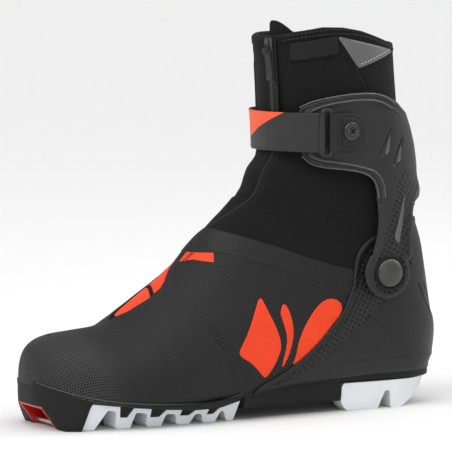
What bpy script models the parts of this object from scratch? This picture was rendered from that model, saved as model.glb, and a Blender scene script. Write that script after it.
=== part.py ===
"""Cross country skate boot, left foot: the toe points along -X, the outer side faces -Y.

The upper is a loft through slanted rings that fan round the instep, from the toe to the collar's rim.
Every skin, shell and lining is that loft at its own depth, so the layers nest with a small gap.
Lengths are in millimetres here, and MM turns them into metres when a mesh is made.
"""

import math

import bmesh
import bpy
from mathutils import Matrix, Vector

MM = 0.001
GAP = 0.3  # clearance left between pieces that touch
SEAM = 0.5  # clearance between panels cut from one skin
RING = 28  # points round each ring of the upper

# Layers of the upper, as depths below its outer face
SKIN = 2.0
LINER_OUT = 4.0
LINER_IN = 6.2
THROAT = 3.4  # extra room under the instep for the lacing
SKIN_FLOOR = 0.3  # heights above the feather line
SKIN_FLOOR_IN = 1.4
BOARD_LOW, BOARD_HIGH = 1.8, 3.3
LINER_FLOOR, LINER_FLOOR_IN = 3.7, 5.6
INSOLE_LOW, INSOLE_HIGH = 6.0, 9.0

# Cuff hinge: its pieces lie between these distances from the middle plane
PIVOT_X, PIVOT_Z = 93.8, 91.2
RIVET_R, RIVET_FOOT_R, WASHER_R, CAP_R = 4.0, 6.5, 9.0, 10.2
RIVET_Y, RIVET_FOOT_Y, WASHER_Y, CAP_Y = (34.7, 45.4), (34.6, 35.1), (38.6, 40.2), (45.7, 48.3)
CAP_BEVEL = 2.2
ARM_R = 17.0
CUFF_WALL = 3.4
MEDIAL_FRONT_X = 36.5  # the inner side of the cuff ends further back than the outer side

# Strap
STRAP_Z, STRAP_W = 184.0, 25.5
STRAP_CENTRE_X, STRAP_A, STRAP_B = 62.0, 41.7, 46.2
STRAP_T = 1.2
STRAP_ROUND = 2.35
BAR_FRONT, BAR_REAR = (41.4, -46.0), (47.6, -46.3)
RING_WIRE_R, EYE_R = 1.3, 2.7
SCREW_X, SCREW_Z, SCREW_R, NUT_R = 62.5, 184.6, 2.2, 4.8
SCREW_HEAD_R = 5.9
SIDES = ((-1, "lateral"), (1, "medial"))

# Zip: its lower and upper end, (x, z), on a line at ZIP_Y
ZIP_Y = -12.0
ZIP_LOW, ZIP_HIGH = (24.2, 199.5), (21.4, 245.0)
ZIP_LENGTH = math.dist(ZIP_LOW, ZIP_HIGH)
ZIP_YAW = math.radians(13)
GUARD_RISE = 10.2  # height of the guard's tab above the front of the rim
PULL_DROP, PULL_OUT = 7.0, 5.6  # the pull's hinge, below the chain's upper end and out from its line

# Binding bar
BAR_X, BAR_Z, BAR_R = -133.4, 3.6, 1.7
POCKET_Y = 17.4
CHANNEL_Y = 17.6

# Height of the feather line, where the upper meets the sole: (x, z)
FEATHER = [(-148, 30.5), (-143, 27.5), (-133, 24), (-118, 20.4), (-104, 18), (-83, 16.1), (-62, 14.8),
           (-40, 14.6), (-26, 15.7), (-15, 17.8), (-3, 20.2), (25, 23.4), (58, 25.3), (92, 27.0), (148, 27.0)]

# Half width of the sole's upper edge: (x, y)
FOOTPRINT = [(-147.4, 9), (-146.2, 16), (-143, 23.5), (-137, 31), (-127, 37.5), (-113, 42), (-95, 44.5),
             (-76, 46), (-55, 46), (-30, 43.5), (0, 38), (33, 34), (66, 32.4), (98, 31.6), (118, 29.4),
             (131, 24), (139, 16.5), (143.4, 7)]

# Rings of the upper: front point x, z; back point x, z; half width; exponent of the front half and of
# the back half; share of the length in front of the widest place; how far the ring shares the nose's inset
RINGS = [
    (-147.4, 41.0, -147.2, 25.0, 5.0, 2.2, 3.0, 0.55, 1.0),
    (-146.2, 46.5, -146.0, 20.0, 13.0, 2.1, 3.2, 0.58, 1.0),
    (-143.0, 51.8, -142.5, 15.0, 21.5, 2.1, 3.5, 0.6, 0.9),
    (-137.0, 55.6, -136.5, 12.0, 30.5, 2.1, 3.8, 0.62, 0.6),
    (-127.0, 58.2, -126.5, 11.0, 38.0, 2.1, 4.0, 0.62, 0.3),
    (-113.0, 59.6, -112.5, 10.0, 43.8, 2.0, 4.0, 0.62, 0.0),
    (-95.0, 61.6, -94.0, 9.0, 47.6, 1.9, 4.0, 0.62, 0.0),
    (-80.0, 70.0, -76.0, 9.0, 49.5, 1.8, 4.0, 0.62, 0.0),
    (-60.0, 84.0, -54.0, 9.0, 50.0, 1.75, 4.0, 0.62, 0.0),
    (-42.0, 98.0, -29.0, 10.0, 48.2, 1.75, 4.0, 0.6, 0.0),
    (-28.0, 111.0, 3.0, 12.0, 45.2, 1.8, 4.0, 0.58, 0.0),
    (-15.0, 123.5, 36.0, 14.0, 42.2, 1.85, 4.0, 0.56, 0.0),
    (-6.5, 131.0, 70.0, 15.0, 40.0, 1.9, 4.0, 0.56, 0.0),
    (-1.5, 135.5, 104.0, 16.0, 38.8, 1.95, 4.0, 0.56, 0.0),
    (0.9, 137.8, 128.0, 18.5, 38.2, 1.95, 3.8, 0.58, 0.0),
    (2.8, 139.7, 144.6, 33.0, 37.6, 1.95, 2.5, 0.6, 0.0),
    (4.2, 141.1, 147.4, 47.0, 37.6, 1.95, 2.25, 0.62, 0.0),
    (5.6, 142.5, 144.2, 68.0, 37.8, 2.0, 2.2, 0.64, 0.0),
    (6.8, 143.7, 140.4, 88.0, 38.0, 2.0, 2.2, 0.66, 0.0),
    (7.8, 144.8, 135.6, 107.5, 38.0, 2.0, 2.2, 0.68, 0.0),
    (8.6, 145.8, 129.4, 127.0, 37.8, 2.0, 2.2, 0.66, 0.0),
]
# How far the collar's rim arches above the line from its front to its back: (share of the way, height)
RIM_ARCH = [(0, 0), (0.12, 4), (0.3, 7.8), (0.45, 8.2), (0.6, 6.6), (0.72, 4), (0.85, 1), (1, 0)]
RIM_INNER_SHARE = 0.4  # the same on the inner side of the foot, as a share of it
GUSSET_RINGS = [
    (9.2, 146.5, 129.1, 128.0, 37.8, 2.0, 2.2, 0.66, 0.0),
    (16.0, 157.5, 127.0, 132.0, 37.6, 2.1, 2.2, 0.64, 0.0),
    (21.6, 170.6, 125.0, 135.0, 37.4, 2.2, 2.2, 0.62, 0.0),
]
COLLAR_RINGS = [
    (22.0, 171.8, 124.4, 136.0, 37.3, 2.2, 2.2, 0.6, 0.0),
    (22.8, 182.0, 122.4, 152.0, 37.2, 2.2, 2.2, 0.56, 0.0),
    (23.0, 192.0, 120.0, 173.0, 37.0, 2.2, 2.2, 0.53, 0.0),
    (22.6, 204.0, 117.8, 198.0, 37.0, 2.2, 2.2, 0.5, 0.0),
    (21.4, 226.0, 116.0, 219.0, 37.0, 2.2, 2.2, 0.5, 0.0),
    (19.9, 245.4, 114.4, 240.0, 37.2, 2.2, 2.2, 0.5, 0.0),
]

# Levels of the cuff's outer face: z, front x, back x, half width, exponent of the back half
CUFF_CENTRE_X = 86.0
CUFF_LEVELS = [(70, 18, 130, 44.8, 4.5), (112, 18, 131, 44.8, 4.5), (136, 18, 131.4, 44.6, 2.6),
               (156, 18, 129.6, 43.9, 2.35), (170, 18, 127.8, 43.4, 2.35), (183, 18, 125.6, 42.8, 2.35),
               (196, 18, 122.4, 42.4, 2.35), (213, 18, 121.4, 42.2, 2.35)]

# Outlines in the XZ plane
COUNTER_EDGE = [(-6.5, 16), (-3.2, 22.5), (19.1, 31.7), (41.2, 46.6), (59.8, 65.2), (65, 74.7),
                (68.7, 82), (70.9, 99.2), (73.1, 106), (79.8, 113.1)]
COUNTER_TOP = [(89.8, 117), (101.8, 120.5), (117.8, 124), (135.8, 128.6)]
VAMP_EDGE = [(-95.2, 63.5), (-78.2, 64.5), (-60.2, 74), (-46.2, 85), (-34.2, 95), (-22.2, 104),
             (-12.2, 108.5), (-3.2, 108), (28.8, 97.5), (65.8, 89)]
PANEL_EDGE = [(-14, 109.5), (-8, 115.9), (0, 122.9), (13.5, 135.4), (30, 150)]
CUFF_EDGE = [(110.6, 100), (110, 115), (111.3, 123), (115.8, 129), (123.8, 133), (151.8, 136),
             (151.8, 190), (119.8, 191), (109.8, 194.5), (101.7, 199), (90.4, 205.7),
             (79.1, 208.6), (64.2, 208.4), (49.4, 206.2), (35.8, 203), (31.8, 199.5),
             (30.4, 195), (30.4, 180), (32.3, 172.5), (38.4, 166), (56.9, 161.4),
             (79.3, 157.3), (86.9, 153.8), (91.8, 148.4), (92.9, 141.8), (89.2, 128.9),
             (85.5, 112.7)]

# Underside: a lug is (bottom from x, bottom to x, top from x, top to x)
TREAD_TOP = [(-125.2, 17.6), (-110.2, 15.8), (-90.2, 13.2), (-66.2, 10.6), (-46.2, 9.2), (-28.2, 9.4),
             (-12.2, 12.6)]
TREAD_ROOF = 3.0
TOE_NOSE = [(-145.5, 15), (-140.2, 8), (-134.8, 0), (-125.6, 0)]
TREAD_LUGS = [(-125.2, -116.2, -119.2, -108.2), (-102.2, -91.8, -101.7, -88.2),
              (-80.6, -70, -80.2, -66.7), (-59.5, -49.7, -59.2, -45.7),
              (-40.4, -30.6, -40.2, -27.2), (-22.7, -16.7, -23.7, -12.6)]
HEEL_X, HEEL_TOP_Z = 65.0, 18.4
ARCH_Z = 7.0

PALETTE = {
    "vamp_plastic": ((0.045, 0.046, 0.048), 0.55, 0.0),
    "shell_plastic": ((0.055, 0.056, 0.058), 0.45, 0.0),
    "softshell": ((0.012, 0.012, 0.013), 0.9, 0.0),
    "panel_fabric": ((0.015, 0.015, 0.016), 0.85, 0.0),
    "lining": ((0.03, 0.03, 0.032), 0.95, 0.0),
    "foam": ((0.06, 0.06, 0.06), 0.9, 0.0),
    "board": ((0.30, 0.27, 0.22), 0.8, 0.0),
    "sole_rubber": ((0.022, 0.022, 0.023), 0.6, 0.0),
    "tread_rubber": ((0.78, 0.79, 0.80), 0.5, 0.0),
    "red_plastic": ((0.60, 0.03, 0.03), 0.35, 0.0),
    "steel": ((0.56, 0.55, 0.53), 0.3, 1.0),
    "black_steel": ((0.05, 0.05, 0.05), 0.35, 1.0),
    "cap_plastic": ((0.10, 0.10, 0.098), 0.35, 0.0),
    "strap_webbing": ((0.05, 0.05, 0.052), 0.5, 0.0),
    "cord": ((0.12, 0.12, 0.12), 0.8, 0.0),
    "label_cloth": ((0.02, 0.02, 0.02), 0.8, 0.0),
    "reflective": ((0.30, 0.30, 0.31), 0.4, 0.0),
    "zip_plastic": ((0.03, 0.03, 0.03), 0.5, 0.0),
    "pull_rubber": ((0.16, 0.16, 0.165), 0.6, 0.0),
}


# ---------------------------------------------------------------- scene and meshes


def clear_scene():
    for obj in list(bpy.data.objects):
        bpy.data.objects.remove(obj, do_unlink=True)


def new_collection(name):
    group = bpy.data.collections.new(name)
    bpy.context.scene.collection.children.link(group)
    return group


def material(name):
    found = bpy.data.materials.get(name)
    if found:
        return found
    colour, roughness, metallic = PALETTE[name]
    made = bpy.data.materials.new(name)
    made.use_nodes = True
    shader = made.node_tree.nodes["Principled BSDF"]
    shader.inputs["Base Color"].default_value = (*colour, 1.0)
    shader.inputs["Roughness"].default_value = roughness
    shader.inputs["Metallic"].default_value = metallic
    return made


def add_mesh(name, verts, faces, slot=None, group=None):
    """A mesh object from points in millimetres, with its faces turned outwards."""
    mesh = bpy.data.meshes.new(name)
    mesh.from_pydata([Vector(v) * MM for v in verts], [], faces)
    solid = bmesh.new()
    solid.from_mesh(mesh)
    bmesh.ops.recalc_face_normals(solid, faces=solid.faces)
    solid.to_mesh(mesh)
    solid.free()
    obj = bpy.data.objects.new(name, mesh)
    (group or PARTS).objects.link(obj)
    if slot:
        mesh.materials.append(material(slot))
        mesh.shade_smooth()
        mesh.set_sharp_from_angle(angle=math.radians(35))
    return obj


def as_cutter(obj):
    for group in list(obj.users_collection):
        group.objects.unlink(obj)
    CUTTERS.objects.link(obj)
    obj.hide_render = True
    obj.display_type = "WIRE"
    return obj


def boolean(obj, other, operation):
    modifier = obj.modifiers.new(operation.lower(), "BOOLEAN")
    modifier.operation = operation
    modifier.solver = "EXACT"
    modifier.object = as_cutter(other)


def from_curve(curve_object, slot=None):
    """The curve as a welded mesh object of the same name."""
    graph = bpy.context.evaluated_depsgraph_get()
    mesh = bpy.data.meshes.new_from_object(curve_object.evaluated_get(graph))
    solid = bmesh.new()
    solid.from_mesh(mesh)
    bmesh.ops.remove_doubles(solid, verts=solid.verts, dist=0.00001)
    bmesh.ops.recalc_face_normals(solid, faces=solid.faces)
    solid.to_mesh(mesh)
    solid.free()
    name = curve_object.name
    place = curve_object.matrix_world.copy()
    bpy.data.objects.remove(curve_object, do_unlink=True)
    obj = bpy.data.objects.new(name, mesh)
    obj.matrix_world = place
    PARTS.objects.link(obj)
    mesh.materials.clear()
    if slot:
        mesh.materials.append(material(slot))
        mesh.shade_smooth()
        mesh.set_sharp_from_angle(angle=math.radians(35))
    return obj


def flat_outline(name, points, low, high, plane="XZ", slot=None):
    """A flat closed outline, extruded from low to high along the axis across its plane."""
    curve = bpy.data.curves.new(name, "CURVE")
    curve.dimensions = "2D"
    curve.fill_mode = "BOTH"
    curve.extrude = (high - low) / 2 * MM
    spline = curve.splines.new("POLY")
    spline.points.add(len(points) - 1)
    for point, (u, v) in zip(spline.points, points):
        point.co = (u * MM, v * MM, 0, 1)
    spline.use_cyclic_u = True
    obj = bpy.data.objects.new(name, curve)
    middle = (low + high) / 2 * MM
    if plane == "XZ":
        obj.matrix_world = Matrix.Translation((0, middle, 0)) @ Matrix.Rotation(math.pi / 2, 4, "X")
    else:
        obj.matrix_world = Matrix.Translation((0, 0, middle))
    PARTS.objects.link(obj)
    bpy.context.view_layer.update()
    return from_curve(obj, slot)


def tube(name, points, radius, slot, sides=2, cyclic=False):
    """A round wire along the points."""
    curve = bpy.data.curves.new(name, "CURVE")
    curve.dimensions = "3D"
    curve.bevel_depth = radius * MM
    curve.bevel_resolution = sides
    curve.use_fill_caps = not cyclic
    spline = curve.splines.new("POLY")
    spline.points.add(len(points) - 1)
    for point, place in zip(spline.points, points):
        point.co = (*(Vector(place) * MM), 1)
    spline.use_cyclic_u = cyclic
    obj = bpy.data.objects.new(name, curve)
    PARTS.objects.link(obj)
    bpy.context.view_layer.update()
    return from_curve(obj, slot)


def cylinder(name, centre, radius, low, high, slot=None, sides=20, top_radius=None):
    """A cylinder or cone along Y from low to high."""
    solid = bmesh.new()
    bmesh.ops.create_cone(solid, cap_ends=True, segments=sides, radius1=radius * MM,
                          radius2=(radius if top_radius is None else top_radius) * MM,
                          depth=(high - low) * MM)
    bmesh.ops.rotate(solid, verts=solid.verts, matrix=Matrix.Rotation(-math.pi / 2, 3, "X"))
    mesh = bpy.data.meshes.new(name)
    solid.to_mesh(mesh)
    solid.free()
    obj = bpy.data.objects.new(name, mesh)
    obj.location = Vector((centre[0], (low + high) / 2, centre[1])) * MM
    PARTS.objects.link(obj)
    if slot:
        mesh.materials.append(material(slot))
        mesh.shade_smooth()
        mesh.set_sharp_from_angle(angle=math.radians(35))
    return obj


def box(name, low, high, slot=None):
    solid = bmesh.new()
    bmesh.ops.create_cube(solid, size=1.0)
    size = Vector(high) - Vector(low)
    bmesh.ops.scale(solid, verts=solid.verts, vec=size * MM)
    mesh = bpy.data.meshes.new(name)
    solid.to_mesh(mesh)
    solid.free()
    obj = bpy.data.objects.new(name, mesh)
    obj.location = (Vector(low) + Vector(high)) / 2 * MM
    PARTS.objects.link(obj)
    if slot:
        mesh.materials.append(material(slot))
    return obj


def hang(obj, axis_point):
    """Moves the object's origin to a point on its joint's axis, and leaves its shape in place."""
    shift = obj.matrix_world.inverted() @ axis_point
    obj.data.transform(Matrix.Translation(-shift))
    obj.matrix_world = obj.matrix_world @ Matrix.Translation(shift)


def bevel(obj, width, segments=2):
    modifier = obj.modifiers.new("bevel", "BEVEL")
    modifier.width = width * MM
    modifier.segments = segments
    modifier.limit_method = "ANGLE"
    return obj


# ---------------------------------------------------------------- form of the upper


def table(rows, x):
    """The value at x of a table of (x, value) rows, straight between them."""
    for (x0, v0), (x1, v1) in zip(rows, rows[1:]):
        if x <= x1:
            return v0 + (v1 - v0) * max(0.0, (x - x0)) / (x1 - x0)
    return rows[-1][1]


def power(value, exponent):
    return math.copysign(abs(value) ** exponent, value)


def ring(row, inset=0.0, floor=None, throat=0.0):
    """Points round one ring of the upper, at a depth below the outer face, none under the floor."""
    fx, fz, bx, bz, half, n_front, n_back, share, nose = row
    front, back = Vector((fx, 0, fz)), Vector((bx, 0, bz))
    along = (back - front).normalized()
    front = front + along * (inset + throat)
    back = back - along * inset
    length = (back - front).length
    middle = front + along * (length * share)
    points = []
    for i in range(RING):
        turn = 2 * math.pi * i / RING
        c, s = math.cos(turn), math.sin(turn)
        n = n_front if c > 0 else n_back
        reach = length * (share if c > 0 else 1 - share)
        spot = middle - along * (power(c, 2 / n) * reach)
        spot.y = power(s, 2 / n) * (half - inset)
        spot.x += inset * nose
        if floor is not None:
            spot.z = max(spot.z, table(FEATHER, spot.x) + floor)
        points.append(tuple(spot))
    return points


def loft_faces(start, rings, count, flip=False):
    faces = []
    for r in range(rings - 1):
        for i in range(count):
            j = (i + 1) % count
            a = start + r * count
            b = a + count
            quad = (a + i, a + j, b + j, b + i)
            faces.append(quad[::-1] if flip else quad)
    return faces


def wall(name, outer, inner, slot=None, closed_start=False):
    """The wall between two lofts of equal rings, with a rim at each open end."""
    count, rings = len(outer[0]), len(outer)
    verts = [p for r in outer for p in r] + [p for r in inner for p in r]
    half = rings * count
    faces = loft_faces(0, rings, count) + loft_faces(half, rings, count, flip=True)
    for r in (0, rings - 1):
        for i in range(count):
            j = (i + 1) % count
            a = r * count
            if r == 0 and closed_start:
                continue
            faces.append((a + i, a + j, half + a + j, half + a + i))
    if closed_start:
        faces.append(tuple(range(count)))
        faces.append(tuple(range(half, half + count)))
    return add_mesh(name, verts, faces, slot)


def deck(name, xs, half, low, high, slot=None, taper=1.0, side=0, inner=0.0):
    """A plate with a plan outline: half(x) is its half width, low(x) and high(x) its faces.

    side is 0 for the whole width, or -1 or 1 for the part beyond inner on that side."""
    verts, faces = [], []
    for x in xs:
        wide = half(x)
        if side == 0:
            lows, highs = (-wide * taper, wide * taper), (-wide, wide)
        else:
            lows = sorted((side * inner, side * max(inner + 1, wide * taper)))
            highs = sorted((side * inner, side * max(inner + 1, wide)))
        verts += [(x, lows[0], low(x)), (x, lows[1], low(x)), (x, highs[1], high(x)), (x, highs[0], high(x))]
    faces += loft_faces(0, len(xs), 4)
    last = 4 * (len(xs) - 1)
    faces += [(0, 1, 2, 3), (last, last + 1, last + 2, last + 3)]
    return add_mesh(name, verts, faces, slot)


def strip(name, rows, slot):
    """A solid through rows of points that run round its cross-section, closed at both ends."""
    count = len(rows[0])
    verts = [p for row in rows for p in row]
    faces = loft_faces(0, len(rows), count)
    last = count * (len(rows) - 1)
    faces += [tuple(range(count)), tuple(range(last, last + count))]
    return add_mesh(name, verts, faces, slot)


def smooth_steps(first, last, count):
    return [first + (last - first) * i / (count - 1) for i in range(count)]


# ---------------------------------------------------------------- sole


def footprint(margin):
    return lambda x: max(1.5, table(FOOTPRINT, x) - margin)


def feather(rise):
    return lambda x: table(FEATHER, x) + rise


def outsole():
    def low(x):
        if x < TREAD_TOP[0][0] - 0.1:
            return table(TOE_NOSE, x)
        if x < TREAD_TOP[-1][0] + 0.4:
            return table(TREAD_TOP, x) + GAP
        if x < HEEL_X - 0.2:
            return ARCH_Z
        return HEEL_TOP_Z + GAP

    xs = [-147.3] + [x for x, _ in TOE_NOSE] + [x for x, _ in TREAD_TOP[:-1]]
    xs += [-12.2, -11.9, -11.5, 0, 33, HEEL_X - 0.4, HEEL_X, 98, 118, 131, 139, 143.4]
    body = deck("outsole", xs, footprint(0), low, feather(0), "sole_rubber", taper=0.9)
    boolean(body, box("bar_pocket", (-160, -POCKET_Y, -5), (-125.2, POCKET_Y, 15.4)), "DIFFERENCE")
    return body


def toe_insert():
    """The moulded channel that lines the pocket and carries the binding bar."""
    outer_y, inner_y = POCKET_Y - GAP, POCKET_Y - GAP - 2.0
    side = [(-144.6, 15.0), (-139.4, 8.0), (-134.4, 1.0), (-126.0, 0.6), (-126.0, 15.0)]
    body = flat_outline("toe_insert", side, -outer_y, outer_y, slot="red_plastic")
    boolean(body, box("insert_hollow", (-160, -inner_y, -5), (-128.0, inner_y, 13.0)), "DIFFERENCE")
    boolean(body, cylinder("bar_hole", (BAR_X, BAR_Z), BAR_R + 0.05, -40, 40), "DIFFERENCE")
    return body


def binding_bar():
    reach = POCKET_Y - GAP - 0.1
    return cylinder("binding_bar", (BAR_X, BAR_Z), BAR_R, -reach, reach, "steel")


def tread_profile():
    """The side outline of the front tread: a roof with lugs standing below it."""
    start = TREAD_LUGS[0][2] + 1.5
    tops = [(start, table(TREAD_TOP, start))] + TREAD_TOP[1:]
    under = []
    for low_from, low_to, top_from, top_to in TREAD_LUGS:
        roof_from = table(TREAD_TOP, top_from) - TREAD_ROOF
        roof_to = table(TREAD_TOP, top_to) - TREAD_ROOF
        under += [(top_from, roof_from), (low_from, 0.0), (low_to, 0.0), (top_to, roof_to)]
    return tops + under[:1:-1] + [(TREAD_LUGS[0][0], 0.0)]


def tread_front(side, name):
    half = [(-127, 36), (-113, 38.5), (-95, 40), (-76, 40.5), (-55, 40.5), (-30, 39.5), (-13, 37)]
    body = flat_outline("tread_front_" + name, tread_profile(), CHANNEL_Y if side > 0 else -50,
                        50 if side > 0 else -CHANNEL_Y, slot="tread_rubber")
    plan = deck("tread_plan_" + name, smooth_steps(-128, -8, 9), lambda x: table(half, x), lambda x: -3.0,
                lambda x: 24.0, taper=0.84)
    boolean(body, plan, "INTERSECT")
    return body


def tread_heel(side, name):
    outline = [(67.4, HEEL_TOP_Z), (65.2, 16), (65.4, 6), (67.8, 2.4), (70.3, 0), (93.6, 0), (98.8, 11.6),
               (102.4, 11.6), (104.3, 0), (112, 0), (122.5, 5.6), (132, 14.5), (134, HEEL_TOP_Z)]
    body = flat_outline("tread_heel_" + name, outline, CHANNEL_Y if side > 0 else -50,
                        50 if side > 0 else -CHANNEL_Y, slot="tread_rubber")
    half = [(60, 32), (98, 31.2), (115, 29), (127, 24), (134, 18)]
    plan = deck("heel_plan_" + name, [60, 80, 98, 115, 127, 134], lambda x: table(half, x), lambda x: -3.0,
                lambda x: 24.0, taper=0.9)
    boolean(body, plan, "INTERSECT")
    return body


def lasting_board():
    xs = smooth_steps(-136, 126, 16)
    return deck("lasting_board", xs, footprint(8), feather(BOARD_LOW), feather(BOARD_HIGH), "board")


def insole():
    xs = smooth_steps(-130, 120, 16)
    return deck("insole", xs, footprint(14), feather(INSOLE_LOW), feather(INSOLE_HIGH), "foam")


# ---------------------------------------------------------------- upper


def skin(name, rows, slot):
    outer = [ring(row, 0, SKIN_FLOOR) for row in rows]
    inner = [ring(row, SKIN, SKIN_FLOOR_IN) for row in rows]
    return wall(name, outer, inner, slot, closed_start=rows is RINGS)


def forefoot_shell():
    body = skin("forefoot_shell", RINGS, "vamp_plastic")
    rear = [(x - SEAM, z) for x, z in COUNTER_EDGE if z < 88]
    keep = [(-160, 5), (-160, 90), (-97, 90)] + VAMP_EDGE + rear[::-1] + [(-9, 5)]
    boolean(body, flat_outline("vamp_outline", keep, -60, 60), "INTERSECT")
    return body


def softshell_side(side, name):
    body = skin("softshell_" + name, RINGS, "softshell")
    keep = [(x, z + SEAM) for x, z in VAMP_EDGE if x > -15]
    keep += [(x - SEAM, z + SEAM) for x, z in COUNTER_EDGE if z > 89]
    keep += [(x, z + SEAM) for x, z in COUNTER_TOP] + [(140, 200), (30, 200)]
    keep += [(x + SEAM, z) for x, z in PANEL_EDGE[::-1]]
    low, high = (0, 60) if side > 0 else (-60, 0)
    boolean(body, flat_outline("softshell_outline_" + name, keep, low, high), "INTERSECT")
    return body


def instep_panel():
    """The stretch panel over the lacing."""
    body = skin("instep_panel", RINGS, "panel_fabric")
    under = [(x, z + SEAM) for x, z in VAMP_EDGE if x < -15]
    keep = [(-96.6, 90), (-60, 130), (0, 180), (30, 180)] + PANEL_EDGE[::-1] + under[::-1]
    boolean(body, flat_outline("panel_outline", keep, -60, 60), "INTERSECT")
    return body


def heel_counter():
    body = skin("heel_counter", RINGS, "shell_plastic")
    keep = COUNTER_EDGE + COUNTER_TOP + [(160, 128.6), (160, 5), (-9, 5)]
    boolean(body, flat_outline("counter_outline", keep, -60, 60), "INTERSECT")
    boolean(body, cylinder("counter_hole", (PIVOT_X, PIVOT_Z), RIVET_R + 0.35, -60, 60), "DIFFERENCE")
    return body


def liner():
    def throat(row):
        return THROAT if row[0] > -90 else 0.0

    outer = [ring(row, LINER_OUT, LINER_FLOOR, throat(row)) for row in RINGS[1:]]
    inner = [ring(row, LINER_IN, LINER_FLOOR_IN, throat(row)) for row in RINGS[1:]]
    return wall("liner", outer, inner, "lining", closed_start=True)


def ankle_gusset():
    outer = [ring(row, 0.2) for row in GUSSET_RINGS]
    inner = [ring(row, LINER_IN) for row in GUSSET_RINGS]
    return wall("ankle_gusset", outer, inner, "softshell")


def collar_loft(inset):
    """The collar's rings at a depth, with a rim that arches more on the outer side."""
    rings = [ring(row, inset) for row in COLLAR_RINGS]
    front, _, back, _, half = COLLAR_RINGS[-1][:5]
    rim = []
    for x, y, z in rings[-1]:
        outer_share = 0.5 - 0.5 * y / half
        arch = table(RIM_ARCH, (x - front) / (back - front))
        rim.append((x, y, z + arch * (RIM_INNER_SHARE + (1 - RIM_INNER_SHARE) * outer_share)))
    return rings[:-1] + [rim]


def collar():
    return wall("collar", collar_loft(0.0), collar_loft(SKIN), "softshell")


def collar_lining():
    return wall("collar_lining", collar_loft(SKIN + GAP), collar_loft(LINER_IN), "lining")


def front_spot(row, y, depth):
    """The point at y on the front half of a ring, at a depth below the outer face."""
    fx, fz, bx, bz, half, n_front, _, share, _ = row
    front, back = Vector((fx, 0, fz)), Vector((bx, 0, bz))
    along = (back - front).normalized()
    reach = (back - front).length * share - depth
    side = min(0.98, abs(y) / (half - depth))
    level = (1 - side ** n_front) ** (1 / n_front)
    spot = front + along * (depth + reach * (1 - level))
    spot.y = y
    return spot


def front_patch(name, rows, ys, near, far, slot):
    """A curved strip on the front of the rings, through the given ys, from depth near to depth far."""
    sections = []
    for row in rows:
        section = [tuple(front_spot(row, y, near)) for y in ys]
        section += [tuple(front_spot(row, y, far)) for y in reversed(ys)]
        sections.append(section)
    return strip(name, sections, slot)


def blended(first, second, share):
    return tuple(a + (b - a) * share for a, b in zip(first, second))


def tongue():
    rows = [row for row in RINGS if -90 < row[0] < 1]
    depth = LINER_IN + THROAT + 0.6
    return front_patch("tongue", rows, smooth_steps(-17, 17, 5), depth, depth + 3.0, "foam")


def lace():
    """The lacing, a cord that zigzags between the liner and the instep panel."""
    rows = [row for row in RINGS if -85 < row[0] < -6]
    points = []
    for number, place in enumerate(smooth_steps(0.0, len(rows) - 1.001, 11)):
        row = blended(rows[int(place)], rows[int(place) + 1], place % 1)
        points.append(tuple(front_spot(row, 8.0 * (-1) ** number, 3.5)))
    return tube("lace", points, 0.9, "cord", sides=1)


def lace_lock():
    body = box("lace_lock", (-4, -3, -0.9), (4, 3, 0.9), "zip_plastic")
    body.location = Vector((1.6, 0, 131.9)) * MM
    body.rotation_euler = (0, math.radians(-43), 0)
    return body


# ---------------------------------------------------------------- zip and trim on the collar


def zip_frame():
    """A frame on the collar's zip line: X across the zip, Y up along it, Z out of the collar."""
    low, high = (Vector((x, ZIP_Y, z)) for x, z in (ZIP_LOW, ZIP_HIGH))
    up = (high - low).normalized()
    out = Vector((-math.cos(ZIP_YAW), -math.sin(ZIP_YAW), 0))
    across = up.cross(out).normalized()
    out = across.cross(up)
    frame = Matrix((across, up, out)).transposed().to_4x4()
    frame.translation = low * MM
    return frame


def zip_box(name, low, high, slot):
    body = box(name, low, high, slot)
    body.matrix_world = zip_frame() @ Matrix.Translation(body.location)
    return body


def zip_parts():
    zip_box("zip_chain", (-2.8, 0, 0.4), (2.8, ZIP_LENGTH, 1.6), "zip_plastic")
    bevel(zip_box("zip_slider", (-3.6, ZIP_LENGTH - 8.6, 1.9), (3.6, ZIP_LENGTH, 4.3), "zip_plastic"), 0.8)
    low, high = (-3.0, ZIP_LENGTH - 28, 4.9), (3.0, ZIP_LENGTH - 6.4, 6.3)
    pull = bevel(zip_box("zip_pull", low, high, "pull_rubber"), 0.4)
    hang(pull, zip_frame() @ (Vector((0, ZIP_LENGTH - PULL_DROP, PULL_OUT)) * MM))


def zip_guard():
    """The tab behind the zip, which stands above the rim."""
    rim = COLLAR_RINGS[-1]
    top = (rim[0] - 0.2, rim[1] + GUARD_RISE, rim[2], rim[3] + GUARD_RISE) + rim[4:]
    rows = [COLLAR_RINGS[3], COLLAR_RINGS[4], rim, top]
    ys = smooth_steps(ZIP_Y - 4, ZIP_Y + 8.5, 7)
    return front_patch("zip_guard", rows, ys, LINER_IN + 0.4, LINER_IN + 1.8, "softshell")


def side_patch(name, shares, xs, slot):
    """A thin patch on the collar's outer side, between two shares of the way up its top panel."""
    rows = []
    for x in xs:
        section = []
        for share, out in ((shares[0], 0.3), (shares[0], 0.9), (shares[1], 0.9), (shares[1], 0.3)):
            fx, fz, bx, bz, half, n_front, n_back, part, _ = blended(COLLAR_RINGS[4], COLLAR_RINGS[5], share)
            middle = fx + (bx - fx) * part
            reach = (middle - fx if x < middle else bx - middle) + out
            n = n_front if x < middle else n_back
            y = (half + out) * (1 - (abs(x - middle) / reach) ** n) ** (1 / n)
            section.append((x, -y, fz + (bz - fz) * (x - fx) / (bx - fx)))
        rows.append(section)
    return strip(name, rows, slot)


def collar_trim():
    side_patch("woven_label", (0.25, 0.82), smooth_steps(29, 57, 8), "label_cloth")
    side_patch("reflective_patch", (0.1, 0.8), smooth_steps(68, 96, 8), "reflective")


# ---------------------------------------------------------------- cuff


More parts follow.
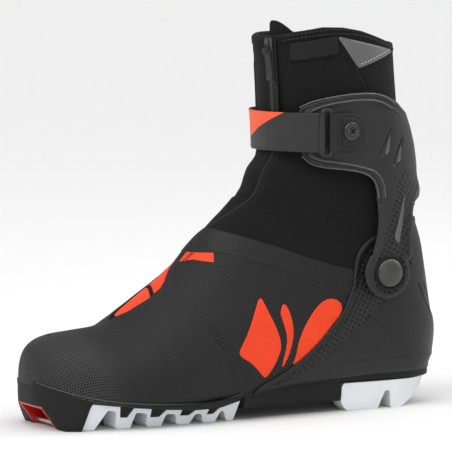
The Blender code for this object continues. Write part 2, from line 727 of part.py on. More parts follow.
def cuff_ring(level, inset):
    z, front, back, half, n_back = level
    points = []
    for i in range(2 * RING):
        turn = math.pi * i / RING
        c, s = math.cos(turn), math.sin(turn)
        n = 2.5 if c > 0 else n_back
        reach = (CUFF_CENTRE_X - front if c > 0 else back - CUFF_CENTRE_X) - inset
        points.append((CUFF_CENTRE_X - power(c, 2 / n) * reach, power(s, 2 / n) * (half - inset), z))
    return points[::2]


def span(side, low, high):
    """The range low to high of distances from the middle plane, as values of y on one side."""
    return (low, high) if side > 0 else (-high, -low)


def drill(body, label, centre, radius, low=-60, high=60):
    boolean(body, cylinder(label, centre, radius, low, high), "DIFFERENCE")


def cuff():
    body = wall("cuff", [cuff_ring(level, 0) for level in CUFF_LEVELS],
                [cuff_ring(level, CUFF_WALL) for level in CUFF_LEVELS], "shell_plastic")
    centre = PIVOT_X - 2.4
    arm = [(centre + ARM_R * math.cos(math.radians(a)), PIVOT_Z + ARM_R * math.sin(math.radians(a)))
           for a in range(150, 376, 15)]
    boolean(body, flat_outline("cuff_outline", arm + CUFF_EDGE, -60, 60), "INTERSECT")
    drill(body, "arm_hole", (PIVOT_X, PIVOT_Z), RIVET_R + 0.35)
    drill(body, "screw_hole", (SCREW_X, SCREW_Z), SCREW_R + 0.4)
    for side, name in SIDES:
        drill(body, "nut_seat_" + name, (SCREW_X, SCREW_Z), NUT_R + 0.4, *span(side, 36, 40.8))
    inner_front = box("medial_front", (0, 0, 140), (MEDIAL_FRONT_X, 60, 230))
    boolean(body, inner_front, "DIFFERENCE")
    hang(body, Vector((PIVOT_X, 0, PIVOT_Z)) * MM)
    return body


def pivot(side, name):
    """Rivet, washer and cap of one cuff hinge, from the inside out."""
    centre = (PIVOT_X, PIVOT_Z)
    washer = cylinder("pivot_washer_" + name, centre, WASHER_R, *span(side, *WASHER_Y), "black_steel")
    drill(washer, "washer_hole_" + name, centre, RIVET_R + 0.35)
    rivet = cylinder("pivot_rivet_" + name, centre, RIVET_R, *span(side, *RIVET_Y), "steel")
    foot = cylinder("rivet_foot_" + name, centre, RIVET_FOOT_R, *span(side, *RIVET_FOOT_Y))
    boolean(rivet, foot, "UNION")
    bottom, top = (CAP_R, CAP_R - CAP_BEVEL) if side > 0 else (CAP_R - CAP_BEVEL, CAP_R)
    cylinder("pivot_cap_" + name, centre, bottom, *span(side, *CAP_Y), "cap_plastic", 28, top)


# ---------------------------------------------------------------- strap


def strap_point(turn, out):
    """A point of the strap's course in plan; turn 0 is the front, positive towards the outer side."""
    c, s = math.cos(turn), math.sin(turn)
    n = STRAP_ROUND
    x = STRAP_CENTRE_X - power(c, 2 / n) * (STRAP_A + out)
    return x, -power(s, 2 / n) * (STRAP_B + out)


def turn_at(x):
    """The turn at which the strap's course reaches x on its outer side."""
    return math.acos(power((STRAP_CENTRE_X - x) / STRAP_A, STRAP_ROUND / 2))


def band(name, plan, width, slot):
    """A flat strap on edge, through pairs of plan points (inner, outer)."""
    low, high = STRAP_Z - width / 2, STRAP_Z + width / 2
    rows = [[(*near, low), (*far, low), (*far, high), (*near, high)] for near, far in plan]
    return strip(name, rows, slot)


def course(turns, inner, outer):
    return [(strap_point(turn, inner), strap_point(turn, outer)) for turn in turns]


def upright_tube(name, x, y, radius, half_height, sides=12):
    body = cylinder(name, (0, 0), radius, -half_height, half_height, sides=sides)
    body.matrix_world = Matrix.Translation(Vector((x, y, STRAP_Z)) * MM) @ Matrix.Rotation(math.pi / 2, 4, "X")
    return body


def eye(body, label, x, y):
    """Joins to the body an upright sleeve with a hole for a bar of the strap ring."""
    boolean(body, upright_tube(label + "_eye", x, y, EYE_R, STRAP_W / 2), "UNION")
    boolean(body, upright_tube(label + "_eye_hole", x, y, RING_WIRE_R + 0.4, STRAP_W), "DIFFERENCE")


def strap():
    last = turn_at(37.6)
    end_x, end_y = SCREW_X + 9.5, STRAP_B - 0.2
    fixed = [((x, end_y - STRAP_T), (x, end_y)) for x in (end_x, SCREW_X, STRAP_CENTRE_X - 4)]
    base = band("strap_base", fixed + course(smooth_steps(-1.3, last, 16), -STRAP_T, 0.0), STRAP_W,
                "strap_webbing")
    drill(base, "strap_hole", (SCREW_X, SCREW_Z), SCREW_R + 0.4, 0, 60)
    band("hook_patch", course(smooth_steps(0.05, last - 0.25, 9), 0.35, 0.85), STRAP_W - 4, "lining")
    loose = course(smooth_steps(-0.1, last, 13), 1.2, 1.2 + STRAP_T)
    loose.append(((BAR_FRONT[0] - 0.4, BAR_FRONT[1] - 1.0), (BAR_FRONT[0] - 0.4, BAR_FRONT[1] - 2.4)))
    tail = band("strap_tail", loose, STRAP_W, "strap_webbing")
    eye(tail, "tail", *BAR_FRONT)
    hang(tail, Vector((*BAR_FRONT, STRAP_Z)) * MM)


def strap_ring():
    """A closed loop of wire with a straight bar at the front for the strap and one behind for the tab."""
    low, high = STRAP_Z - 14.9, STRAP_Z + 14.9
    (x0, y0), (x1, y1) = BAR_FRONT, BAR_REAR
    points = [(x0, y0, low + 2), (x0, y0, high - 2), (x0 + 2, y0, high), (x1 - 2, y1, high), (x1, y1, high - 2),
              (x1, y1, low + 2), (x1 - 2, y1, low), (x0 + 2, y0, low)]
    return tube("strap_ring", points, RING_WIRE_R, "black_steel", sides=1, cyclic=True)


def strap_tab():
    """The anchor plate on the outer side, folded round the rear bar of the ring."""
    nose = [(SCREW_X + 11.5 * math.sin(a), STRAP_Z + 12 * math.cos(a)) for a in smooth_steps(0, math.pi, 9)]
    outline = [(BAR_REAR[0] + 1.5, STRAP_Z - 12), *nose[::-1], (BAR_REAR[0] + 1.5, STRAP_Z + 12)]
    body = flat_outline("strap_tab", outline, -46.9, -45.0, slot="shell_plastic")
    eye(body, "tab", *BAR_REAR)
    drill(body, "tab_hole", (SCREW_X, SCREW_Z), SCREW_R + 0.4)
    return body


def strap_screw(side, name):
    """The screw through the strap's end and the cuff, and the nut in its seat inside the cuff."""
    centre = (SCREW_X, SCREW_Z)
    seat = 47.2 if side < 0 else 46.4
    screw = cylinder("strap_screw_" + name, centre, SCREW_R, *span(side, 38.6, seat + 0.8), "black_steel", 16)
    boolean(screw, cylinder("head_" + name, centre, SCREW_HEAD_R, *span(side, seat, seat + 1.6)), "UNION")
    nut = cylinder("tee_nut_" + name, centre, NUT_R, *span(side, 38.2, 40.4), "steel", 16)
    drill(nut, "nut_thread_" + name, centre, SCREW_R + 0.2)


def build_all():
    outsole()
    toe_insert()
    binding_bar()
    for side, name in SIDES:
        tread_front(side, name)
        tread_heel(side, name)
        pivot(side, name)
        softshell_side(side, name)
        strap_screw(side, name)
    lasting_board()
    insole()
    forefoot_shell()
    instep_panel()
    heel_counter()
    liner()
    ankle_gusset()
    tongue()
    lace()
    lace_lock()
    collar()
    collar_lining()
    cuff()
    strap()
    strap_ring()
    strap_tab()
    zip_parts()
    zip_guard()
    collar_trim()


clear_scene()
PARTS = new_collection("ski_boot")
CUTTERS = new_collection("cutters")
CUTTERS.hide_render = True
build_all()
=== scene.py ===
"""Looks of a cross country skate boot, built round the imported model.

Design lengths are in millimetres and become metres when a mesh is made. The toe points along -X and the
outer side faces -Y. The upper is a loft through slanted rings, and each panel is the part of that surface
inside its own outline, given in side view as (x, z).
"""

import math

import bmesh
import bpy
import numpy as np
from mathutils import Matrix, Vector
from mathutils.bvhtree import BVHTree


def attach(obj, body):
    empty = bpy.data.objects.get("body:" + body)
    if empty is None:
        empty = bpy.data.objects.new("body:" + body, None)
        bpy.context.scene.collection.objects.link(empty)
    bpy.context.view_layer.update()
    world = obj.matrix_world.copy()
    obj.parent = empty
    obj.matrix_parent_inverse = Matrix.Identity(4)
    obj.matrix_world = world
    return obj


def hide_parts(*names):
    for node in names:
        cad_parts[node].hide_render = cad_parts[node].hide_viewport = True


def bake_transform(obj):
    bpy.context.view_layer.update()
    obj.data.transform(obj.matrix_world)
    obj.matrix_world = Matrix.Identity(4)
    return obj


MM = 0.001
SIDES = (-1, "lateral"), (1, "medial")

# Rings of the upper: front x, z; back x, z; half width; exponents of the front and the back half;
# share of the length in front of the widest place
RINGS = [
    (-147.4, 41, -147.2, 25, 5, 2.2, 3, 0.55), (-146.2, 46.5, -146, 20, 13, 2.1, 3.2, 0.58),
    (-143, 51.8, -142.5, 15, 21.5, 2.1, 3.5, 0.6), (-137, 55.6, -136.5, 12, 30.5, 2.1, 3.8, 0.62),
    (-127, 58.2, -126.5, 11, 38, 2.1, 4, 0.62), (-113, 59.6, -112.5, 10, 43.8, 2, 4, 0.62),
    (-95, 61.6, -94, 9, 47.6, 1.9, 4, 0.62), (-80, 70, -76, 9, 49.5, 1.8, 4, 0.62),
    (-60, 84, -54, 9, 50, 1.75, 4, 0.62), (-42, 98, -29, 10, 48.2, 1.75, 4, 0.6),
    (-28.6, 111.8, 3, 12, 45.2, 1.8, 4, 0.58), (-16, 124.8, 36, 14, 42.2, 1.85, 4, 0.56),
    (-7.8, 132.6, 70, 15, 40, 1.9, 4, 0.56), (-3, 137.3, 104, 16, 38.8, 1.95, 4, 0.56),
    (-0.8, 139.7, 128, 18.5, 38.2, 1.95, 3.8, 0.58), (1, 141.7, 143.6, 33, 37.6, 1.95, 2.5, 0.6),
    (3.1, 142.7, 146, 47, 37.6, 1.95, 2.25, 0.62), (4.5, 144.2, 142.4, 68, 37.8, 2, 2.2, 0.64),
    (5.7, 145.5, 138.8, 88, 38, 2, 2.2, 0.66), (6.8, 146.7, 134, 107.5, 38, 2, 2.2, 0.68),
    (7.9, 147.9, 127.6, 127, 37.8, 2, 2.2, 0.66), (12.6, 159, 126.4, 132, 37.6, 2.1, 2.2, 0.64),
    (21, 170.4, 125, 136, 37.4, 2.2, 2.2, 0.62), (22.8, 182, 122.4, 152, 37.2, 2.2, 2.2, 0.56),
    (23, 192, 120, 173, 37, 2.2, 2.2, 0.53), (22.6, 204, 117.8, 198, 37, 2.2, 2.2, 0.5),
    (21.4, 226, 116, 219, 37, 2.2, 2.2, 0.5), (19.9, 245.4, 114.4, 240, 37.2, 2.2, 2.2, 0.5),
]
RIM_ARCH = [(0, 0), (0.12, 4), (0.3, 7.8), (0.45, 8.2), (0.6, 6.6), (0.72, 4), (0.85, 1), (1, 0)]
RIM_INNER_SHARE = 0.4

# Where the upper meets the sole, (x, z), and the sole's half width, (x, y)
FEATHER = [(-148, 30.5), (-143, 27.5), (-133, 24), (-118, 20.4), (-104, 18), (-83, 16.1), (-62, 14.8),
           (-40, 14.6), (-26, 15.7), (-15, 17.8), (-3, 20.2), (25, 23.4), (58, 25.3), (92, 27), (148, 27)]
FOOTPRINT = [(-147.4, 9), (-146.2, 16), (-143, 23.5), (-137, 31), (-127, 37.5), (-113, 42), (-95, 44.5),
             (-76, 46), (-55, 46), (-30, 43.5), (0, 38), (33, 34), (66, 32.4), (98, 31.6), (118, 29.4),
             (131, 24), (139, 16.5), (143.4, 7)]

# Levels of the cuff's outer face: z, front x, back x, half width, exponent of the back half
CUFF_CENTRE_X = 86.0
CUFF_LEVELS = [(70, 18, 130, 44.8, 4.5), (112, 18, 131, 44.8, 4.5), (136, 18, 130.2, 44.6, 2.6),
               (156, 18, 130.2, 43.9, 2.35), (170, 18, 128.6, 43.4, 2.35), (183, 18, 125.2, 42.8, 2.35),
               (196, 18, 120.6, 42.4, 2.35), (213, 18, 118.8, 42.2, 2.35)]
PIVOT_X, PIVOT_Z, ARM_R, CAP_R = 93.8, 91.2, 17.0, 10.2

# Strap: its height, width, and the centre and half axes of its course; the ring's two bars, (x, y); the screw
STRAP_Z, STRAP_W, STRAP_X, STRAP_A, STRAP_B = 184.0, 25.5, 62.0, 41.7, 46.2
BAR_FRONT, BAR_REAR, WIRE_R = (41.4, -46.0), (47.6, -46.3), 1.3
SCREW_X, SCREW_Z = 62.5, 184.6
RING_HALF, TAB_HALF, FACE_HALF = 14.9, 12.2, 9.2  # half heights: ring, anchor plate, its raised face

# Side outlines, (x, z)
COUNTER = [(-6.5, 16), (-3.2, 22.5), (19.1, 31.7), (41.2, 46.6), (59.8, 65.2), (65, 74.7), (68.7, 82),
           (70.9, 99.2), (73.1, 106), (79.8, 113.1), (89.8, 117), (101.8, 120.5), (117.8, 124), (150, 129.5)]
VAMP_TOP = [(-96, 66), (-80, 80), (-45, 112), (-30, 122), (-18, 122), (0.5, 116.2), (16, 111.2), (32, 105),
            (52, 98.6), (80, 91)]
CUFF_OUTLINE = [(110.6, 96), (110, 112), (110.6, 121), (112.5, 131), (117, 136.2), (124, 138),
                (132, 139.5), (160, 141), (160, 192), (121, 192.5), (109.8, 196.5), (101.7, 202),
                (90.4, 207.2), (79.1, 209.2), (64.2, 208.6), (49.4, 205.6), (36.2, 201.2), (32.6, 198.5),
                (31.4, 194), (31.4, 178), (33.6, 170), (38.4, 164.4), (47, 161.4), (58.5, 159.4),
                (72.4, 157.1), (80.1, 153.4), (83.6, 147.4), (83.7, 139), (84.4, 124), (82.6, 112),
                (78.4, 101)]


# ---------------------------------------------------------------- numbers


def table(rows, x):
    rows = np.asarray(rows, float)
    return np.interp(x, rows[:, 0], rows[:, 1])


def smoothstep(low, high, x):
    t = np.clip((x - low) / (high - low), 0, 1)
    return t * t * (3 - 2 * t)


def falling(low, high, x):
    return 1 - smoothstep(low, high, x)


def window(rise_from, rise_to, fall_from, fall_to, x):
    """1 between two edges and 0 outside them."""
    return smoothstep(rise_from, rise_to, x) * falling(fall_from, fall_to, x)


def ridge(x, middle, width):
    """A rounded ridge of height 1."""
    return np.exp(-((x - middle) / width) ** 2)


def through(rows, counts):
    """Rows on a smooth curve through the given ones, with no overshoot; counts are the steps of each gap."""
    rows = np.asarray(rows, float)
    steps = np.diff(rows, axis=0)
    both = steps[1:] * steps[:-1]
    middle = np.where(both > 0, 2 * both / np.where(both > 0, steps[1:] + steps[:-1], 1), 0)
    slopes = np.concatenate([steps[:1], middle, steps[-1:]])
    found = []
    for i, count in enumerate(counts):
        for t in np.arange(count) / count:
            found.append(rows[i] * (2 * t ** 3 - 3 * t * t + 1) + slopes[i] * (t ** 3 - 2 * t * t + t)
                         + rows[i + 1] * (3 * t * t - 2 * t ** 3) + slopes[i + 1] * (t ** 3 - t * t))
    return np.array(found + [rows[-1]])


def rounded(points, passes=2, closed=True):
    """An outline with its corners cut again and again, so that it turns smoothly."""
    p = np.asarray(points, float)
    for _ in range(passes):
        q = np.roll(p, -1, 0) if closed else p[1:]
        a = p if closed else p[:-1]
        cut = np.stack([0.75 * a + 0.25 * q, 0.25 * a + 0.75 * q], 1).reshape(-1, p.shape[1])
        p = cut if closed else np.concatenate([p[:1], cut[1:-1], p[-1:]])
    return p


def cornered(points, radius):
    """A closed outline with a small round at each corner."""
    p = np.asarray(points, float)
    found = []
    for before, here, after in zip(np.roll(p, 1, 0), p, np.roll(p, -1, 0)):
        a = here + (before - here) * min(0.45, radius / np.linalg.norm(before - here))
        b = here + (after - here) * min(0.45, radius / np.linalg.norm(after - here))
        found += [(1 - t) ** 2 * a + 2 * t * (1 - t) * here + t * t * b for t in (0, 0.25, 0.5, 0.75, 1)]
    return np.array(found)


def line_distance(x, z, line, closed=False):
    """Distance from each point to a line of points."""
    line = np.asarray(line, float)
    ends = np.roll(line, -1, 0) if closed else line[1:]
    starts = line if closed else line[:-1]
    best = np.full(np.shape(x), np.inf)
    for (ax, az), (bx, bz) in zip(starts, ends):
        dx, dz = bx - ax, bz - az
        t = np.clip(((x - ax) * dx + (z - az) * dz) / max(dx * dx + dz * dz, 1e-9), 0, 1)
        best = np.minimum(best, np.hypot(x - ax - t * dx, z - az - t * dz))
    return best


def inside(x, z, outline):
    """Distance to a closed outline, positive inside it."""
    outline = np.asarray(outline, float)
    odd = np.zeros(np.shape(x), bool)
    for (ax, az), (bx, bz) in zip(outline, np.roll(outline, -1, 0)):
        if az == bz:
            continue
        crosses = (az > z) != (bz > z)
        odd ^= crosses & (x < (bx - ax) * (z - az) / (bz - az) + ax)
    return np.where(odd, 1, -1) * line_distance(x, z, outline, True)


def groove(x, z, line, width, depth):
    """A rounded channel of that width along a line, as a height to add."""
    return -depth * falling(0, width / 2, line_distance(x, z, line))


def wavy(points, scale, seed):
    """Smooth unevenness from -1 to 1 at a scale in millimetres."""
    rng = np.random.default_rng(seed)
    total = np.zeros(points.shape[:-1])
    for _ in range(7):
        direction = rng.normal(size=3)
        direction /= np.linalg.norm(direction)
        total += np.sin(points @ direction * (2 * math.pi / scale) * rng.uniform(0.6, 1.5)
                        + rng.uniform(0, 6.3))
    return total / 7


# ---------------------------------------------------------------- surfaces


def even_round(curve, count):
    """A closed fine curve that starts at its front, as count points at even distances."""
    closed = np.concatenate([curve, curve[:1]])
    run = np.concatenate([[0], np.cumsum(np.linalg.norm(np.diff(closed, axis=0), axis=1))])
    want = np.linspace(0, run[-1], count + 1)[:-1]
    return np.stack([np.interp(want, run, closed[:, k]) for k in range(3)], 1)


def counts_for(rings, step):
    """How many steps each interval between rings needs."""
    return [max(2, int(math.ceil(np.linalg.norm(b - a, axis=1).max() / step)))
            for a, b in zip(rings, rings[1:])]


TURNS = np.linspace(0, 2 * math.pi, 1441)[:-1]


def oval(front, back, half, n_front, n_back, share):
    """A superellipse from the front point to the back point; it starts at the front towards +Y."""
    c, s = np.cos(TURNS), np.sin(TURNS)
    along = back - front
    length = np.linalg.norm(along)
    along = along / length
    n = np.where(c > 0, n_front, n_back)
    reach = np.where(c > 0, share, 1 - share) * length
    points = front + along * length * share - np.outer(np.sign(c) * np.abs(c) ** (2 / n) * reach, along)
    points[:, 1] = np.sign(s) * np.abs(s) ** (2 / n) * half
    return points


def upper_curve(row):
    fx, fz, bx, bz, half, n_front, n_back, share = row
    points = oval(np.array([fx, 0, fz]), np.array([bx, 0, bz]), half, n_front, n_back, share)
    points[:, 2] = np.maximum(points[:, 2], table(FEATHER, points[:, 0]) - 1.6)
    return points


def cuff_curve(row):
    z, front, back, half, n_back = row
    share = (CUFF_CENTRE_X - front) / (back - front)
    return oval(np.array([front, 0, z]), np.array([back, 0, z]), half, 2.5, n_back, share)


def normals_of(grid):
    """Unit normals of a grid of rings, pointing away from the middle of each ring."""
    down = np.gradient(grid, axis=0)
    around = np.roll(grid, -1, 1) - np.roll(grid, 1, 1)
    n = np.cross(around, down)
    n /= np.maximum(np.linalg.norm(n, axis=2, keepdims=True), 1e-9)
    away = grid - grid.mean(axis=1, keepdims=True)
    return n * np.sign((away * n).sum(axis=2).mean())


def upper_surface(columns=340, step=1.9):
    """The upper as rings of points, with a small cap at the toe and an arched rim."""
    coarse = [upper_curve(row) for row in np.asarray(RINGS, float)]
    counts = counts_for([c[::8] for c in coarse], step)
    rows = through(RINGS, counts)
    grid = np.array([even_round(upper_curve(row), columns) for row in rows])
    last = counts[-1]
    lift = np.zeros(len(rows))
    lift[-last - 1:] = np.arange(last + 1) / last
    front, back, half = RINGS[-1][0], RINGS[-1][2], RINGS[-1][4]
    arch = table(RIM_ARCH, (grid[:, :, 0] - front) / (back - front))
    outer = 0.5 - 0.5 * grid[:, :, 1] / half
    grid[:, :, 2] += lift[:, None] * arch * (RIM_INNER_SHARE + (1 - RIM_INNER_SHARE) * outer)
    centre = grid[0].mean(0)
    nose = [centre + (grid[0] - centre) * share + np.array([-0.35 * (1 - share * share), 0, 0])
            for share in (0.03, 0.3, 0.6, 0.85)]
    return np.concatenate([np.array(nose), grid])


def cuff_surface(columns=360):
    rows = through(CUFF_LEVELS, [36, 22, 18, 13, 12, 12, 15])
    return np.array([even_round(cuff_curve(row), columns) for row in rows])


def pattern_place(points):
    """Flat coordinates for a printed or embossed pattern, in metres: round the toe, then along the side."""
    x, y, z = points[..., 0], points[..., 1], points[..., 2]
    toe, radius = -95.0, 48.0
    ahead = np.maximum(toe - x, 0)
    blunt = 26 * np.exp(-(ahead / 22) ** 2)
    u = np.where(x < toe, toe - radius * np.arctan2(ahead, np.hypot(y, blunt)), x)
    v = z - np.hypot(y, 3)
    return np.stack([u, v], -1) * MM


# ---------------------------------------------------------------- meshes


def placed(name, data):
    """A new object in the scene."""
    obj = bpy.data.objects.new(name, data)
    bpy.context.scene.collection.objects.link(obj)
    return obj


def set_places(mesh, layer, places):
    """Gives each corner of a mesh its point's flat coordinates."""
    index = np.empty(len(mesh.loops), np.int32)
    mesh.loops.foreach_get("vertex_index", index)
    layer.data.foreach_set("uv", np.asarray(places, np.float32)[index].ravel())


def set_mask(mesh, label, values):
    """Gives each point of a mesh a number that a material reads."""
    attribute = mesh.attributes.new(label, "FLOAT", "POINT")
    attribute.data.foreach_set("value", np.asarray(values, np.float32))


def smoothed(mesh, angle):
    """Smooth shading, with edges sharper than the angle left sharp."""
    mesh.shade_smooth()
    if angle < 180:
        mesh.set_sharp_from_angle(angle=math.radians(angle))


def make(name, verts, faces, masks=None, places=None, smooth=True, angle=40):
    """A mesh object from points in millimetres."""
    verts = np.asarray(verts, float)
    mesh = bpy.data.meshes.new(name)
    mesh.from_pydata([tuple(v) for v in verts * MM], [], [list(map(int, f)) for f in faces])
    mesh.update()
    set_places(mesh, mesh.uv_layers.new(name="pattern"), pattern_place(verts) if places is None else places)
    for label, values in (masks or {}).items():
        set_mask(mesh, label, values)
    if smooth:
        smoothed(mesh, angle)
    return placed(name, mesh)


def reworked(obj, work):
    """The object with its mesh changed by a function of a bmesh."""
    mesh = bmesh.new()
    mesh.from_mesh(obj.data)
    work(mesh)
    mesh.to_mesh(obj.data)
    mesh.free()
    return obj


def turned_out(obj):
    return reworked(obj, lambda mesh: bmesh.ops.recalc_face_normals(mesh, faces=mesh.faces))


def thickened(obj, thickness, offset=-1):
    modifier = obj.modifiers.new("thickness", "SOLIDIFY")
    modifier.thickness = thickness * MM
    modifier.offset = offset
    return obj


def cut_grid(name, grid, keep, masks=None, wrap=True, solid=0.0):
    """The part of a grid of points where keep is positive, with a clean edge, as a mesh object."""
    rows, columns = keep.shape
    labels = list(masks or {})
    data = [grid.reshape(-1, 3), pattern_place(grid).reshape(-1, 2)]
    data = np.concatenate(data + [masks[label].reshape(-1, 1) for label in labels], 1)
    flat = keep.reshape(-1)
    extra, made = [], {}

    def corner(a, b):
        key = (a, b) if a < b else (b, a)
        if key not in made:
            t = flat[a] / (flat[a] - flat[b])
            made[key] = len(data) + len(extra)
            extra.append(data[a] + (data[b] - data[a]) * t)
        return made[key]

    i = np.arange(rows - 1)[:, None]
    j = np.arange(columns if wrap else columns - 1)[None, :]
    k = (j + 1) % columns
    quads = np.stack(np.broadcast_arrays(i * columns + j, i * columns + k, (i + 1) * columns + k,
                                         (i + 1) * columns + j), -1).reshape(-1, 4)
    positive = (flat[quads] > 0).sum(1)
    faces = quads[positive == 4].tolist()
    for quad in quads[(positive > 0) & (positive < 4)].tolist():
        polygon = []
        for a, b in zip(quad, quad[1:] + quad[:1]):
            if flat[a] > 0:
                polygon.append(a)
            if (flat[a] > 0) != (flat[b] > 0):
                polygon.append(corner(a, b))
        faces.append(polygon)
    if extra:
        data = np.concatenate([data, np.array(extra)])
    used = np.unique(np.concatenate([np.array(f) for f in faces]))
    number = np.full(len(data), -1)
    number[used] = np.arange(len(used))
    data = data[used]
    faces = [[number[v] for v in f] for f in faces]
    values = {label: data[:, 5 + n] for n, label in enumerate(labels)}
    obj = make(name, data[:, :3], faces, values, data[:, 3:5], angle=180)
    reworked(obj, lambda mesh: bmesh.ops.dissolve_degenerate(mesh, dist=0.02 * MM, edges=mesh.edges))
    return thickened(obj, solid) if solid else obj


def rolled(keep, width, depth):
    """How far a panel's edge turns down, within width of its outline."""
    t = np.clip(keep / width, 0, 1)
    return -depth * (1 - np.sqrt(np.clip(1 - (1 - t) ** 2, 0, 1)))


def facing_out(obj):
    """Turns all the faces of an open sheet away from its middle, where they look inwards."""
    mesh = obj.data
    normals = np.array([p.normal for p in mesh.polygons])
    centres = np.array([p.center for p in mesh.polygons])
    if ((centres - centres.mean(0)) * normals).sum() < 0:
        mesh.flip_normals()
    return obj


def lofted(name, sections, closed_ends=True, angle=40):
    """A solid through equal rings of points."""
    sections = np.asarray(sections, float)
    n, m = sections.shape[:2]
    faces = [(i * m + j, i * m + (j + 1) % m, (i + 1) * m + (j + 1) % m, (i + 1) * m + j)
             for i in range(n - 1) for j in range(m)]
    if closed_ends:
        faces += [tuple(range(m))[::-1], tuple(range((n - 1) * m, n * m))]
    return turned_out(make(name, sections.reshape(-1, 3), faces, angle=angle))


def bevelled(obj, width, segments=3, angle=35):
    modifier = obj.modifiers.new("edges", "BEVEL")
    modifier.width = width * MM
    modifier.segments = segments
    modifier.limit_method = "ANGLE"
    modifier.angle_limit = math.radians(angle)
    return obj


def applied(obj):
    """The object with its modifiers made part of its mesh."""
    graph = bpy.context.evaluated_depsgraph_get()
    mesh = bpy.data.meshes.new_from_object(obj.evaluated_get(graph), preserve_all_data_layers=True,
                                           depsgraph=graph)
    obj.modifiers.clear()
    obj.data = mesh
    return obj


def cut_by(obj, tool):
    modifier = obj.modifiers.new("cut", "BOOLEAN")
    modifier.operation = "DIFFERENCE"
    modifier.solver = "EXACT"
    modifier.object = tool
    bpy.context.view_layer.update()
    applied(obj)
    bpy.data.objects.remove(tool, do_unlink=True)
    return obj


def block(name, low, high):
    """A box to cut with, whose faces carry no pattern."""
    x0, y0, z0 = low
    x1, y1, z1 = high
    verts = [(x, y, z) for z in (z0, z1) for x, y in ((x0, y0), (x1, y0), (x1, y1), (x0, y1))]
    faces = [(3, 2, 1, 0), (4, 5, 6, 7), (0, 1, 5, 4), (1, 2, 6, 5), (2, 3, 7, 6), (3, 0, 4, 7)]
    return make(name, verts, faces, places=np.zeros((8, 2)), smooth=False)


def slab(name, near, far, angle=40):
    """A solid between two equal outlines of points."""
    n = len(near)
    faces = [tuple(range(n)), tuple(range(n, 2 * n))[::-1]]
    faces += [(i, (i + 1) % n, n + (i + 1) % n, n + i) for i in range(n)]
    return turned_out(make(name, list(near) + list(far), faces, angle=angle))


def prism(name, outline, near, far, angle=40):
    """A side outline (x, z) drawn out along Y; far may be a function that gives y at each corner."""
    outline = np.asarray(outline, float)
    reach = far(outline) if callable(far) else [far] * len(outline)
    return slab(name, [(x, near, z) for x, z in outline],
                [(x, y, z) for (x, z), y in zip(outline, reach)], angle)


def circle(steps):
    return np.linspace(0, 2 * math.pi, steps + 1)[:-1]


def turned(name, profile, centre, side=1, steps=64):
    """A profile (radius, height) turned about a line along Y; height grows towards that side."""
    x0, y0, z0 = centre
    rings = [[(x0 + r * math.cos(a), y0 + side * h, z0 + r * math.sin(a)) for a in circle(steps)]
             for r, h in profile]
    return lofted(name, rings)


def swept(name, path, radius, sides=12, closed=False):
    """A round wire along points."""
    path = np.asarray(path, float)
    tangent = np.roll(path, -1, 0) - np.roll(path, 1, 0) if closed else np.gradient(path, axis=0)
    tangent /= np.linalg.norm(tangent, axis=1, keepdims=True)
    up = np.array([0.13, 0.31, 0.94])  # along no wire of this boot
    side = np.cross(tangent, up)
    side /= np.linalg.norm(side, axis=1, keepdims=True)
    rise = np.cross(side, tangent)
    turn = circle(sides)
    rings = [p + radius * (np.outer(np.cos(turn), s) + np.outer(np.sin(turn), r))
             for p, s, r in zip(path, side, rise)]
    return lofted(name, rings + rings[:1] if closed else rings, closed_ends=not closed)


# ---------------------------------------------------------------- materials


def fresh(name, rough, metallic=0.0, sheen=0.0, coat=0.0, specular=0.5):
    """A new material, as the net of its nodes."""
    made = bpy.data.materials.new(name)
    made.use_nodes = True
    net = Net(made)
    for socket, value in (("Roughness", rough), ("Metallic", metallic), ("Sheen Weight", sheen),
                          ("Sheen Roughness", 0.45), ("Coat Weight", coat), ("Coat Roughness", 0.25),
                          ("Specular IOR Level", specular)):
        net.shader.inputs[socket].default_value = value
    return net


